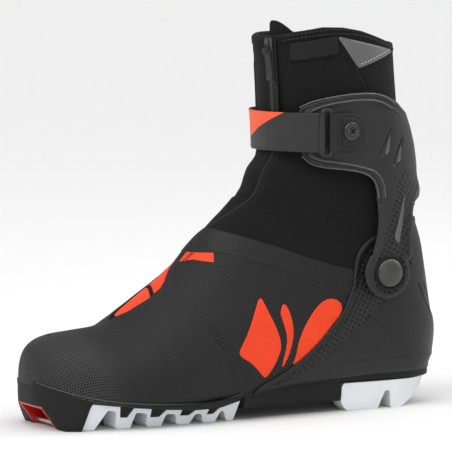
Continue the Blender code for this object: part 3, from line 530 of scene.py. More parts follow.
class Net:
    """Short ways to add and join a material's nodes."""

    def __init__(self, made):
        self.made, self.tree = made, made.node_tree
        self.shader = self.tree.nodes["Principled BSDF"]

    def add(self, kind, **settings):
        node = self.tree.nodes.new(kind)
        for key, value in settings.items():
            setattr(node, key, value)
        return node

    def put(self, socket, value):
        if isinstance(value, (int, float, tuple)):
            socket.default_value = value
        else:
            self.tree.links.new(value, socket)

    def math(self, operation, *values):
        node = self.add("ShaderNodeMath", operation=operation)
        for socket, value in zip(node.inputs, values):
            self.put(socket, value)
        return node.outputs[0]

    def times(self, a, b):
        return self.math("MULTIPLY", a, b)

    def plus(self, a, b):
        return self.math("ADD", a, b)

    def mix(self, share, a, b):
        node = self.add("ShaderNodeMix", data_type="RGBA")
        for place, value in ((0, share), (6, a), (7, b)):
            self.put(node.inputs[place], value)
        return node.outputs[2]

    def greys(self, share, dark, pale):
        return self.mix(share, grey(dark), grey(pale))

    def ramp(self, value, low, high=(0.0, 1.0), clamp=True):
        node = self.add("ShaderNodeMapRange", clamp=clamp)
        for socket, entry in zip(node.inputs, (value, *low, *high)):
            self.put(socket, entry)
        return node.outputs[0]

    def mask(self, name):
        return self.add("ShaderNodeAttribute", attribute_name=name).outputs["Fac"]

    def noise(self, scale, detail=3.0):
        node = self.add("ShaderNodeTexNoise")
        self.put(node.inputs["Vector"], self.add("ShaderNodeTexCoord").outputs["Object"])
        self.put(node.inputs["Scale"], scale)
        self.put(node.inputs["Detail"], detail)
        return node.outputs["Fac"]

    def waves(self, pitch, turn=0.0):
        """Two families of cosine waves over the flat coordinates, as their values from 0 to 1."""
        turned = self.add("ShaderNodeVectorRotate", rotation_type="Z_AXIS")
        self.put(turned.inputs["Vector"], self.add("ShaderNodeUVMap", uv_map="pattern").outputs[0])
        self.put(turned.inputs["Angle"], math.radians(turn))
        parts = self.add("ShaderNodeSeparateXYZ")
        self.put(parts.inputs[0], turned.outputs[0])
        swings = [self.math("COSINE", self.times(part, 2 * math.pi / (size * MM)))
                  for part, size in zip(parts.outputs, pitch)]
        return [self.math("MULTIPLY_ADD", swing, 0.5, 0.5) for swing in swings]

    def weave(self, pitch, turn=0.0):
        return self.times(*self.waves(pitch, turn))

    def finish(self, colour, height, distance, rough):
        """Joins the net to its shader; height is a bump, and 1 of it stands distance millimetres proud."""
        bump = self.add("ShaderNodeBump")
        self.put(bump.inputs["Strength"], 1.0)
        self.put(bump.inputs["Distance"], distance * MM)
        self.put(bump.inputs["Height"], height)
        for socket, value in (("Base Color", colour), ("Roughness", rough), ("Normal", bump.outputs[0])):
            self.put(self.shader.inputs[socket], value)
        return self.made


def grey(value):
    return (value, value, value, 1.0)


def shade(colour, share, lift=0.0):
    """A colour made darker or paler."""
    return tuple(min(1.0, c * share + lift) for c in colour) + (1.0,)


EVEN = (0.3, 0.7)  # the part of a noise that changes a material's gloss
DOTS = (2.15, 2.15), 38  # the vamp's embossed dots: pitch and turn


def plastic(name, colour, rough, grain=0.03, coat=0.0, metallic=0.0, wear=1.25):
    """Moulded plastic or metal: a fine grain, slow changes of tone and gloss, and paler scuffs."""
    net = fresh(name, rough, metallic=metallic, coat=coat)
    slow = net.noise(38.0, 2.0)
    fine = net.noise(2400.0, 2.0)
    scuff = net.ramp(net.noise(210.0, 6.0), (0.62, 0.78), (0.0, 0.45))
    tone = net.mix(scuff, net.mix(slow, shade(colour, 0.88), shade(colour, 1.1)), shade(colour, wear, 0.004))
    gloss = net.plus(net.ramp(slow, EVEN, (rough * 0.92, rough * 1.06)),
                     net.ramp(fine, (0.0, 1.0), (-0.03, 0.03), False))
    return net.finish(tone, fine, grain, gloss)


def cloth(name, colour, pitch, depth, sheen=0.0, rough=0.9):
    """Woven or knitted cloth, by waves over the flat coordinates, with slow changes and loose fibres."""
    net = fresh(name, rough, sheen=sheen, specular=0.25)
    weave = net.weave(pitch)
    fibre = net.noise(3200.0, 3.0)
    tone = net.plus(net.times(weave, 0.5), net.times(net.noise(26.0, 3.0), 0.5))
    height = net.plus(weave, net.times(fibre, 0.5))
    return net.finish(net.mix(tone, shade(colour, 0.7), shade(colour, 1.3)), height, depth,
                      net.ramp(fibre, (0.2, 0.8), (rough - 0.06, min(1.0, rough + 0.05))))


def softshell():
    """Matte stretch fabric: a tight brushed twill, paler on the welts and darker on the front panel."""
    net = fresh("softshell_fabric", 0.92, sheen=0.05, specular=0.12)
    weave = net.weave((0.62, 0.9), 35)
    fibre = net.noise(2600.0, 3.0)
    tone = net.plus(net.times(weave, 0.45), net.times(net.noise(22.0, 2.0), 0.55))
    cloth_tone = net.mix(net.mask("panel"), net.greys(tone, 0.007, 0.017), net.greys(tone, 0.0065, 0.0135))
    colour = net.mix(net.mask("welt"), cloth_tone, net.greys(tone, 0.011, 0.02))
    height = net.plus(weave, net.times(fibre, 0.6))
    return net.finish(colour, height, 0.2, net.ramp(fibre, (0.2, 0.8), (0.86, 0.96)))


def vamp():
    """Coated fabric with embossed dots, finer at the toe, and a smooth welded band; painted shade in the dots
    and on the lower part, and a painted highlight on the toe.
    """
    net = fresh("vamp_film", 0.5, specular=0.27)
    dots = net.ramp(net.weave(*DOTS), (0.27, 0.5))
    toe_dots = net.ramp(net.weave((1.85, 1.85), 12), (0.25, 0.5))
    toe, band, low = net.mask("toe"), net.mask("band"), net.mask("low")
    pattern = net.plus(net.times(dots, net.math("SUBTRACT", 1.0, toe)), net.times(toe_dots, toe))
    pattern = net.times(pattern, net.math("SUBTRACT", 1.0, band))
    pattern = net.times(pattern, net.ramp(low, (0.0, 1.0), (1.0, 0.12)))
    fine = net.noise(2200.0, 2.0)
    slow = net.noise(24.0, 2.0)
    # Painted highlight: the field is paler towards the toe.
    field = net.mix(toe, net.greys(slow, 0.016, 0.0225), net.greys(slow, 0.036, 0.047))
    # Painted shade: the field is darker on the lower part, towards the sole.
    field = net.mix(low, field, net.greys(slow, 0.0115, 0.016))
    # Painted shade: the recessed dots are painted near black.
    colour = net.mix(band, net.mix(pattern, field, grey(0.001)), net.greys(slow, 0.0115, 0.0155))
    height = net.plus(net.times(pattern, -1.0), net.times(fine, 0.14))
    return net.finish(colour, height, 1.5, net.plus(net.ramp(slow, EVEN, (0.5, 0.58)), net.times(fine, 0.05)))


def shell(name, dark, pale, edge):
    """Satin moulded plastic, with square dimples where the grid mask is on, painted shade in the dimples and
    a painted highlight on the ridges between them, and a painted highlight where the edge mask is on.
    """
    net = fresh(name, 0.42, specular=0.36)
    cells = net.times(*(net.ramp(wave, (0.05, 0.2)) for wave in net.waves((3.3, 3.3), 28)))
    grid = net.mask("grid")
    fine = net.noise(2600.0, 2.0)
    slow = net.noise(30.0, 2.0)
    scuff = net.ramp(net.noise(160.0, 6.0), (0.64, 0.8), (0.0, 0.35))
    # Painted shade and highlight: where the grid mask is on, the dimples are painted dark and the ridges
    # between them pale.
    ground = net.mix(grid, net.greys(slow, dark, pale), net.greys(cells, 0.03, 0.0035))
    # Painted highlight: paler where the edge mask is on.
    colour = net.mix(net.mask("edge"), net.mix(scuff, ground, grey(0.022)), grey(edge))
    height = net.plus(net.times(net.times(cells, grid), -1.0), net.times(fine, 0.04))
    return net.finish(colour, height, 1.6, net.plus(net.ramp(slow, EVEN, (0.42, 0.5)), net.times(fine, 0.05)))


def sole_rubber():
    """Black moulded rubber with a little dust."""
    net = fresh("sole_rubber_moulding", 0.6, specular=0.28)
    slow = net.noise(34.0, 3.0)
    dust = net.ramp(net.noise(420.0, 5.0), (0.58, 0.8), (0.0, 0.3))
    colour = net.mix(dust, net.greys(slow, 0.006, 0.0095), grey(0.016))
    return net.finish(colour, net.noise(1800.0, 4.0), 0.05, net.ramp(slow, EVEN, (0.56, 0.68)))


def strap_film():
    """The strap's coated face: fine lengthwise ribs, with an orange tip where the tip mask is on."""
    net = fresh("strap_film", 0.32, specular=0.45)
    ribs, _ = net.waves((0.55, 0.55), 90)
    slow = net.noise(60.0, 2.0)
    orange = net.mix(slow, (0.90, 0.085, 0.02, 1.0), (0.96, 0.11, 0.028, 1.0))
    colour = net.mix(net.ramp(net.mask("tip"), (0.48, 0.52)), net.greys(slow, 0.014, 0.019), orange)
    height = net.plus(net.times(ribs, 0.5), net.noise(2400.0, 2.0))
    return net.finish(colour, height, 0.03, net.ramp(slow, EVEN, (0.38, 0.46)))


def print_ink(name, colour):
    """A printed film, with the dots below it showing faintly."""
    net = fresh(name, 0.5, specular=0.22)
    dots = net.ramp(net.weave(*DOTS), (0.35, 0.62))
    slow = net.noise(40.0, 2.0)
    height = net.plus(net.times(dots, -0.8), net.times(net.noise(2200.0, 2.0), 0.2))
    return net.finish(net.mix(slow, shade(colour, 0.88), shade(colour, 1.06)), height, 0.12,
                      net.ramp(slow, EVEN, (0.46, 0.56)))


def reflective_film():
    """Grey retroreflective cloth: tiny beads in a diamond lattice."""
    net = fresh("reflective_film", 0.42, metallic=0.25)
    beads = net.weave((0.9, 0.9), 45)
    slow = net.noise(50.0, 2.0)
    tone = net.plus(net.times(beads, 0.4), net.times(slow, 0.6))
    return net.finish(net.greys(tone, 0.1, 0.17), beads, 0.04, net.ramp(slow, EVEN, (0.36, 0.48)))


def dress(obj, material):
    obj.data.materials.clear()
    obj.data.materials.append(material)
    return obj


HINGE_BEND = "foot", "ankle_cuff"  # the two bodies of a piece that bends across the hinge


def finished(obj, material, body, slot=None, *nodes):
    """The piece in its material, on its body or left with no body when it spans the hinge, in place of its
    CAD nodes. The slot is not used.
    """
    dress(obj, material)
    if body == HINGE_BEND:
        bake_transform(obj)
    else:
        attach(obj, body)
    if nodes:
        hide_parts(*nodes)
    return obj


# ---------------------------------------------------------------- the upper


LATERAL_EDGE = [(61, 4), (65, 1), (66.7, -0.5), (70.6, -5.6), (79.2, -9.7), (86, -9), (89.9, -5.9),
                (95, 1.5), (100.7, 7), (107, 8.5), (114, 7.5), (118, 4.5), (122, 0), (127, -5),
                (131.6, -8.6), (136, -10.2), (141, -11.2), (147, -12), (154, -12.2), (170, -12.4),
                (185, -12), (260, -12)]
MEDIAL_EDGE = [(61, -4), (64.5, 1), (66.7, 7), (70.6, 14), (80, 19), (90, 21), (100, 22), (115, 22),
               (135, 21), (170, 19), (260, 19)]
BAND_TOP = [(-25, 125), (-17, 122.5), (0.5, 117), (16, 112), (31.9, 106), (52, 99.5), (74, 94)]
BAND_LOW = [(-24, 108), (-9, 104.2), (12, 98.4), (30.7, 91.9), (50, 84.5), (72, 75)]
BAND_MID = [(-16, 108.5), (4, 104.5), (20, 99.6), (36, 93.6), (70, 82.5)]
GRID = [(4, 22.5), (16, 26.8), (28, 34.6), (44, 45.5), (58, 58.5), (68, 72.5), (71, 84), (74, 97),
        (82, 109), (112, 110), (113, 92), (108, 82), (100, 76), (91.3, 71), (80, 61.5), (69.7, 53.5),
        (60, 46.5), (48.7, 39.5), (36, 32.5), (24, 26.5), (12, 22.8)]
HEM = 6.2  # depth of the collar's hem
WALL = 5.2  # thickness of fabric and padding at the rim
MIDDLE_X = 34  # parts the front of the upper from its back
PRINT_THICKNESS = 0.3
# The tongue: half width, lower and upper end, and its depth inside the upper
TONGUE_HALF, TONGUE_LOW, TONGUE_HIGH, TONGUE_DEEP = 17.5, 68, 137, 13.0


class Form:
    """A lofted surface, and the places where lines from the side or the front meet it."""

    def __init__(self, grid, normals=None):
        self.grid = grid
        self.normals = normals_of(grid) if normals is None else normals
        rows, columns = grid.shape[:2]
        faces = [(i * columns + j, i * columns + (j + 1) % columns, (i + 1) * columns + (j + 1) % columns,
                  (i + 1) * columns + j) for i in range(rows - 1) for j in range(columns)]
        self.tree = BVHTree.FromPolygons([tuple(p) for p in grid.reshape(-1, 3)], faces)

    def parts(self):
        """The grid, and its x, y and z."""
        return self.grid, *np.moveaxis(self.grid, -1, 0)

    def raised(self, height):
        """The surface moved out by a height at each point."""
        return self.grid + self.normals * height[..., None]

    def look(self, start, direction):
        place, normal, _, _ = self.tree.ray_cast(Vector(start), Vector(direction))
        if place is None:
            return None
        if normal.dot(Vector(direction)) > 0:
            normal = -normal
        return np.array(place), np.array(normal)

    def side(self, x, z, side=-1):
        return self.look((x, side * 300, z), (0, -side, 0))

    def front(self, y, z):
        return self.look((-400, y, z), (1, 0, 0))


def panel_side(points):
    """Distance into the front panel from its outer edge; negative outside it."""
    y, z = points[..., 1], points[..., 2]
    return np.minimum(y - table(LATERAL_EDGE, z), table(MEDIAL_EDGE, z) - y)


def front_half(points):
    return points[..., 0] < MIDDLE_X


def softshell_piece(form, material):
    """Stretch fabric from the vamp's edge to the collar's rim, rolled over at the rim."""
    grid, x, y, z = form.parts()
    below_rim = grid[-1, :, 2] - z
    front = front_half(grid)
    panel = smoothstep(-0.2, 0.9, panel_side(grid)) * smoothstep(60, 64, z) * front
    outer = window(-4.4, -3.6, -0.9, -0.1, y - table(LATERAL_EDGE, z)) * window(108, 116, 214, 220, z)
    inner = window(-3.4, -2.8, -0.7, 0, table(MEDIAL_EDGE, z) - y) * window(100, 108, 225, 230, z)
    welt = np.maximum(outer, inner) * front
    hem = falling(HEM - 0.7, HEM + 0.3, below_rim)
    folds = (wavy(grid, 46, 11) * 0.5 + wavy(grid, 21, 12) * 0.25) * window(96, 118, 196, 214, z)
    height = -0.5 * falling(-4, 2, z - table(VAMP_TOP, x)) * (z < 130)
    height = height - 0.9 * falling(228, 236, z) * panel + 0.45 * welt + 0.35 * hem + folds
    height = height + groove(x, z, [(60, 247), (73.1, 224.9), (80.3, 212.3), (86, 200)], 2.2, 0.45)
    full = form.raised(height - 0.3 * ridge(below_rim, HEM, 0.7))
    full[..., 2] -= rim_drop(below_rim)
    outwards = form.normals[-1]
    centre = full[-1] - outwards * WALL / 2
    up = np.array([0, 0, 1])
    roll = np.array([centre + WALL / 2 * (outwards * math.cos(angle) + up * math.sin(angle))
                     for angle in np.linspace(0, math.pi, 12)[1:]])
    masks = {"panel": np.maximum(panel, 0.85 * hem), "welt": welt}
    masks = {k: np.concatenate([v, np.repeat(v[-1:], len(roll), 0)]) for k, v in masks.items()}
    area = [(-93, 50), (-60, 66), (-30, 84), (-10, 96), (30, 86), (80, 72), (160, 100), (160, 300),
            (-120, 300), (-120, 60)]
    keep = np.concatenate([inside(x, z, area), np.full(roll.shape[:2], 5.0)])
    obj = facing_out(cut_grid("softshell_upper", np.concatenate([full, roll]), keep, masks))
    finished(obj, material, HINGE_BEND, "softshell", "softshell_lateral", "softshell_medial", "instep_panel",
             "ankle_gusset", "collar")


def rim_drop(below_rim):
    """How far the last rows go down, so that the rolled rim ends at the rim's own height."""
    share = np.clip(1 - below_rim / 14, 0, 1)
    return WALL / 2 * share * share


def lining_piece(form, material):
    """The padded lining inside, from the toe to the rim."""
    grid, x, y, z = form.parts()
    below_rim = grid[-1, :, 2] - z
    throat = 3.4 * falling(16, 26, np.abs(y)) * front_half(grid) * window(66, 80, 120, 140, z)
    quilt = 0.5 * np.sin(z * 2 * math.pi / 13) * smoothstep(14, 24, below_rim) * smoothstep(60, 110, z)
    inner = form.raised(-(WALL - 0.05 + 1.0 * smoothstep(1, 12, below_rim) + throat + quilt))
    inner[..., 2] -= rim_drop(below_rim)
    inner = inner[int(np.argmax(x[:, 0] > -136)):]
    obj = cut_grid("boot_lining", inner, np.full(inner.shape[:2], 1.0))

    def shut_toe(mesh):
        edges = [e for e in mesh.edges if e.is_boundary and e.verts[0].co.x < -0.09]
        bmesh.ops.holes_fill(mesh, edges=edges, sides=0)

    reworked(obj, shut_toe).data.flip_normals()
    finished(obj, material, HINGE_BEND, "lining", "liner", "collar_lining")


def vamp_piece(form, material):
    """The coated forefoot, welded at its band, with its edge lapped over the instep."""
    grid, x, y, z = form.parts()
    outline = [(-165, -5), (-165, 100), (-60, 127)] + rounded(VAMP_TOP[4:], 2, False).tolist()
    keep = inside(x, z, outline + [(100, 82), (100, -5)])
    opening = front_half(grid) & (z > 58)
    lap = -panel_side(grid)
    keep = np.where(opening, np.minimum(keep, lap), keep)
    band_area = rounded(BAND_TOP, 2, False).tolist() + rounded(BAND_LOW, 2, False).tolist()[::-1]
    welded_edge = np.where(opening, falling(6.0, 7.2, lap), 0) * smoothstep(60, 70, z)
    band = np.maximum(smoothstep(-0.6, 0.4, inside(x, z, band_area)), welded_edge)
    # The toe mask gives the finer dots and the toe's painted highlight.
    toe = falling(-118, -88, x + 0.35 * (z - 45))
    # The low mask fades the dots and gives the painted shade on the lower part.
    low = falling(30, 52, z + 0.10 * (x + 100) + 4 * wavy(grid, 60, 5)) * smoothstep(-120, -90, x)
    height = 0.45 + 0.3 * band + groove(x, z, rounded(BAND_MID, 2, False), 2.0, 0.4)
    for line, depth in (([(-62, 56), (-58, 42), (-60, 30)], 0.5),
                        ([(-46, 70), (-32, 50), (-26, 34), (-22, 22)], 0.45),
                        ([(-40, 58), (-25, 45), (-12, 27)], 0.4),
                        ([(-76, 62), (-70, 48), (-73, 36)], 0.35)):
        crease = rounded(line, 2, False)
        height = height + groove(x, z, crease, 8, 1.7 * depth) * (y < 0)
        height = height + groove(x, z, crease, 9, depth * 0.8) * (y > 0)
    full = form.raised(height + 0.35 * wavy(grid, 55, 3) + rolled(keep, 1.0, 0.9))
    obj = facing_out(cut_grid("forefoot_film", full, keep, {"band": band, "toe": toe, "low": low}, solid=1.1))
    finished(obj, material, "foot", "vamp_plastic", "forefoot_shell")


def counter_piece(form, material):
    """The moulded heel counter: a raised front lip, a dimpled strip beside it and a step at the back."""
    _, x, _, z = form.parts()
    front = rounded(COUNTER, 2, False)
    keep = inside(x, z, front.tolist() + [(150, -5), (-6.5, -5)])
    edge = line_distance(x, z, front)
    # The grid mask also carries the dimples' painted shade and the ridges' painted highlight.
    grid_mask = smoothstep(-0.4, 0.4, inside(x, z, rounded(GRID, 2)))
    channel = rounded([(79, 62.8), (85, 62), (90, 58.4), (97, 49), (104, 38.5), (111.6, 32)], 2, False)
    height = 1.35 + 0.7 * falling(2.6, 4.2, edge) - 0.45 * ridge(edge, 4.6, 0.8)
    height = height + groove(x, z, channel, 2.4, 0.9)
    height = height + groove(x, z, [(121.0, 81), (126, 72), (133.5, 62)], 2.0, 1.4) * (x < 134)
    height = height + groove(x, z, [(126.5, 82), (131, 74), (138.5, 64)], 2.0, 1.4) * (x < 139)
    height = height - 0.8 * smoothstep(56, 60, z - 0.9 * (141 - x)) * smoothstep(126, 134, x)
    height = height + 0.5 * ridge(z - table(FEATHER, x), 6.5, 1.0) * (x > 60)
    full = form.raised(height + rolled(keep, 1.3, 1.1) - 0.25 * grid_mask)
    masks = {"grid": grid_mask, "edge": 0 * x}
    obj = facing_out(cut_grid("heel_counter_moulding", full, keep, masks, solid=1.8))
    finished(obj, material, "foot", "shell_plastic", "heel_counter")


def decal(name, form, shapes, lift, material, body, sides=(-1, 1), slot=None, front=False, nodes=()):
    """A thin printed or bonded piece on a surface: shapes are outlines in its side view or its front view."""
    grid, x, y, z = form.parts()
    best = np.full(x.shape, -99.0)
    for shape in shapes:
        best = np.maximum(best, inside(y if front else x, z, shape))
    shown = front_half(grid) if front else np.any([y * side > 0 for side in sides], axis=0)
    best = np.where(shown, best, -99.0)
    near = (best > -12).any(1)
    part = slice(max(int(np.argmax(near)) - 1, 0), len(near) - int(np.argmax(near[::-1])) + 1)
    full = form.raised(lift + rolled(best, 0.5, 0.12))
    obj = facing_out(cut_grid(name, full[part], np.maximum(best[part], -3.0)))
    return finished(thickened(obj, PRINT_THICKNESS), material, body, slot, *nodes)


def bead(name, form, line, lift, radius, material, body, slot, sides=(-1, 1), inner_from=-999):
    """A thin raised line along a surface, given in side view; on the inner side it may start further back."""
    line = densely(rounded(line, 2, False), 0.8, False)
    pieces = []
    for side in sides:
        found = [form.side(u, v, side) for u, v in line if side < 0 or u > inner_from]
        path = [place + normal * lift for place, normal in (f for f in found if f is not None)]
        pieces.append(swept(name + "_line", path, radius, sides=8))
    finished(joined(name, pieces), material, body, slot)


def piping(form, material):
    """The corded seam down the outer edge of the front panel."""
    found = [form.front(float(table(LATERAL_EDGE, z)) - 0.4, z) for z in np.linspace(106, 232, 110)]
    path = [place + normal * 0.35 for place, normal in (f for f in found if f is not None)]
    obj = swept("panel_piping", rounded(path[::5] + path[-1:], 3, False), 0.62, sides=10)
    finished(obj, material, HINGE_BEND, "softshell")


def stitches(name, form, line, lift, pitch, length, radius, material, body, side=-1):
    """A row of small stitches along a line on the surface, given in its side view."""
    line = rounded(line, 2, False)
    run = np.concatenate([[0], np.cumsum(np.linalg.norm(np.diff(line, axis=0), axis=1))])
    verts, faces = [], []
    for s in np.arange(pitch / 2, run[-1], pitch):
        ends = [form.side(np.interp(t, run, line[:, 0]), np.interp(t, run, line[:, 1]), side)
                for t in (s - length / 2, s + length / 2)]
        if any(e is None for e in ends):
            continue
        a, b = (p + n * lift for p, n in ends)
        size = np.linalg.norm(b - a)
        if size < 0.2 or size > 4 * length:
            continue
        normal = ends[0][1]
        across = np.cross((b - a) / size, normal)
        first = len(verts)
        for share, girth in ((0, 0.35), (0.15, 0.85), (0.5, 1), (0.85, 0.85), (1, 0.35)):
            centre = a + (b - a) * share
            for angle in circle(6):
                spoke = across * math.cos(angle) + normal * math.sin(angle) * 0.8
                verts.append(centre + radius * girth * spoke)
        for r in range(4):
            faces += [(first + r * 6 + k, first + r * 6 + (k + 1) % 6, first + r * 6 + 6 + (k + 1) % 6,
                       first + r * 6 + 6 + k) for k in range(6)]
        faces += [tuple(first + k for k in range(6))[::-1], tuple(first + 24 + k for k in range(6))]
    finished(make(name, verts, faces), material, body)


def strip_on_instep(form, material):
    """The orange strip seen in the opening of the vamp, over the lacing."""
    grid, x, y, z = form.parts()
    gap = np.abs(x + 61.5 - 0.35 * (y + 5)) - 1.2
    keep = np.minimum(np.minimum(panel_side(grid) - 1.5, np.minimum(z - 67.8, 103 - z)), gap)
    keep = np.where(front_half(grid), keep, -3)
    full = form.raised(-0.35 + rolled(keep, 0.7, 0.4))
    part = slice(0, len(full) // 2 + 20)
    obj = facing_out(cut_grid("instep_strip", full[part], np.maximum(keep, -3)[part], solid=0.5))
    finished(obj, material, "foot", "reflective")


# ---------------------------------------------------------------- the cuff


UPPER_TRIM = [(31.4, 195), (33.2, 200.2), (40, 203.2), (51.2, 206), (64.5, 208.4), (78.9, 209.2),
              (90.4, 207.1), (98.7, 202.8), (106, 197.5)]
LOWER_TRIM = [(31.4, 178), (33.6, 170), (38.4, 164.4), (47, 161.4), (58.5, 159.4), (72.4, 157.1),
              (80.1, 153.4), (83.6, 147.4), (83.7, 139)]
CUFF_GRID = [(101, 156.5), (108, 158.5), (124, 158.5), (121, 146), (113.5, 136), (110, 122), (110.6, 110),
             (110, 92), (104, 81), (97, 77.5), (90, 77.5), (83.5, 81), (81, 88), (83, 97), (88, 108),
             (91.5, 120), (96, 138)]
FACET = [(106.3, 146), (101.5, 131), (97.6, 118), (96.9, 111), (101.6, 105.6), (102.2, 116), (104, 132)]
# Painted highlights on the lit faces of the fins and the facet, drawn as pale pieces.
FINS = [[(94.9, 184.8), (92.6, 169.4), (89.6, 167.6)], [(104.7, 178.5), (101.9, 163.6), (98.7, 162.2)],
        [(106.3, 145.0), (96.0, 113.9), (100.2, 109.4)]]
FIN_GROOVES = [((94.9, 184.8), (87.9, 168.6)), ((104.7, 178.5), (98.1, 163))]
# Painted highlights along the trims, drawn as pale lines: name, sides, course
TRIM_LINES = [
    ("upper", (-1,), [(33.4, 199.8), (40, 203.6), (51.2, 206.2), (64.5, 208.0), (78.9, 208.6), (90.4, 206.4),
                      (98.7, 201.2)]),
    ("upper_inner", (-1,), [(36.4, 195.4), (42, 199.2), (52, 202.2), (64.5, 204.0), (78.3, 204.6),
                            (88.6, 202.6), (96, 198.4)]),
    ("lower", (-1, 1), [(34.2, 168.6), (39, 163.4), (47, 161.0), (58.5, 160.0), (72.4, 157.7), (80.1, 154),
                        (83.7, 148), (84.3, 140)]),
    ("lower_inner", (-1, 1), [(37.9, 169.3), (42.6, 166.1), (58.6, 163.9), (76.1, 160), (83.5, 157.2),
                              (88.6, 150.6), (89.9, 140.7)])]
CUFF_INNER_FRONT = 36.5  # the cuff's front edge on the inner side, x


def cuff_piece(material, light):
    """The cuff: a shell with trims along its front, two fins, a facet, a dimpled strip and a spoiler; the
    trims, the fins and the facet carry painted highlights.
    """
    bare = Form(cuff_surface())
    grid, x, y, z = bare.parts()
    arm = ARM_R - np.hypot(x - (PIVOT_X - 2.4), z - PIVOT_Z)
    keep = np.maximum(inside(x, z, rounded(CUFF_OUTLINE, 2)), arm)
    keep = np.where((y > 0) & (z > 140), np.minimum(keep, x - CUFF_INNER_FRONT), keep)
    trims = np.minimum(*(line_distance(x, z, rounded(line, 2, False)) for line in (UPPER_TRIM, LOWER_TRIM)))
    ends = window(30.5, 34, 99, 106, x)
    lips = ridge(trims, 0.9, 0.6) + ridge(trims, 4.5, 0.6)
    height = (lips - 0.35 * window(1.2, 2.0, 3.4, 4.2, trims) - 0.5 * ridge(trims, 6.0, 0.8)) * ends
    # Painted highlight on the two lips of the trims.
    highlight_mask = np.clip(lips * ends, 0, 1)
    height = height + 0.7 * falling(2.4, 3.6, keep) * (z < 136)
    for start, end in FIN_GROOVES:
        d = line_distance(x, z, [start, end])
        deep = 1 - np.clip((z - end[1]) / (start[1] - end[1]), 0, 1)
        width = 0.7 + 1.7 * deep
        height = height - 1.6 * falling(width * 0.3, width + 0.4, d)
        # Painted highlight inside each fin's groove, towards its deep end.
        highlight_mask = np.maximum(highlight_mask, 0.8 * falling(width * 0.5, width, d) * smoothstep(0.2, 0.9, deep))
    facet = inside(x, z, FACET)
    height = height - 0.9 * smoothstep(-0.5, 1.6, facet)
    # Painted highlight on the facet's recess.
    highlight_mask = np.maximum(highlight_mask, 0.7 * smoothstep(0.2, 1.2, facet))
    screw = np.hypot(x - STRAP_X, z - STRAP_Z)
    outer = (x > 50) * (y < 0)
    height = height + (0.12 * falling(15.4, 16.4, screw) - 0.5 * ridge(screw, 16.6, 0.6)) * outer
    # The grid mask also carries the dimples' painted shade and the ridges' painted highlight.
    grid_mask = smoothstep(-0.4, 0.6, inside(x, z, rounded(CUFF_GRID, 2))) * falling(-1, 0.5, facet)
    grid_mask = grid_mask * smoothstep(3.2, 4.2, keep)
    height = height + 1.6 * ridge(z, 144, 6.5) * smoothstep(112, 128, x) + 0.25 * wavy(grid, 70, 8)
    form = Form(bare.raised(height + rolled(keep, 1.5, 1.3)), bare.normals)
    # Pale beads along the trims and pale pieces on the fins: painted highlights.
    for label, sides, line in TRIM_LINES:
        bead("cuff_trim_" + label, form, line, 0.15, 0.5, light, "ankle_cuff", "shell_plastic", sides,
             CUFF_INNER_FRONT + 2.5)
    decal("cuff_facets", form, FINS, 0.5, light, "ankle_cuff", slot="shell_plastic")
    masks = {"grid": grid_mask, "edge": highlight_mask}
    obj = facing_out(cut_grid("cuff_moulding", form.grid, keep, masks, solid=3.0))
    finished(obj, material, "ankle_cuff", "shell_plastic", "cuff")


def pivot_caps(material, dark):
    """The domed caps of the two hinge rivets, each in a ring."""
    centre = (PIVOT_X - 1.2, 0, PIVOT_Z)
    ring = [(0.02, 43.6), (CAP_R + 0.9, 43.6), (CAP_R + 0.9, 45.3), (CAP_R + 0.4, 45.9), (CAP_R - 0.1, 45.9),
            (CAP_R - 0.5, 45.2), (8.0, 45.0), (0.02, 45.0)]
    dome = [(0.02, 44.2), (CAP_R - 1.2, 44.2), (CAP_R - 0.9, 44.6), (CAP_R - 0.9, 46.2), (CAP_R - 1.3, 46.9),
            (7.6, 47.8), (6.0, 48.5), (4.0, 49.0), (2.0, 49.25), (0.02, 49.3)]
    for side, label in SIDES:
        finished(turned("pivot_ring_" + label, ring, centre, side), dark, "foot")
        finished(turned("pivot_cap_dome_" + label, dome, centre, side), material, "foot", "cap_plastic",
                 "pivot_cap_" + label)


# ---------------------------------------------------------------- the strap


def strap_place(turn, out, z):
    """A point on the strap's course; turn 0 is the front, positive towards the outer side."""
    n = 2.05 + 0.3 * smoothstep(0.45, 1.0, np.abs(turn))
    c, s = np.cos(turn), np.sin(turn)
    x = STRAP_X - np.sign(c) * np.abs(c) ** (2 / n) * (STRAP_A + out)
    y = -np.sign(s) * np.abs(s) ** (2 / n) * (STRAP_B + out)
    x = x + 0.085 * (STRAP_Z + STRAP_W / 2 - z) * np.clip(c, 0, 1) ** 2
    return np.stack(np.broadcast_arrays(x, y, z), -1)


def strap_section(inner, outer, width, bead=0.22):
    """Points (out, z) round the strap's cross-section, thicker along its edges."""
    half, corner = width / 2, (outer - inner) * 0.46
    section = []
    for sx, sz, start in ((1, 1, 0), (-1, 1, 90), (-1, -1, 180), (1, -1, 270)):
        for angle in range(start, start + 91, 30):
            a = math.radians(angle)
            out = (outer - corner if sx > 0 else inner + corner) + corner * math.cos(a)
            proud = bead if out > (inner + outer) / 2 else 0
            section.append((out + proud, sz * (half - corner) + corner * math.sin(a)))
    section += [(outer + bead, -half + 1.1), (outer, -half + 1.9)]
    section += [(outer, z) for z in np.linspace(-half + 2.4, half - 2.4, 26)]
    return np.array(section + [(outer, half - 1.9), (outer + bead, half - 1.1)])


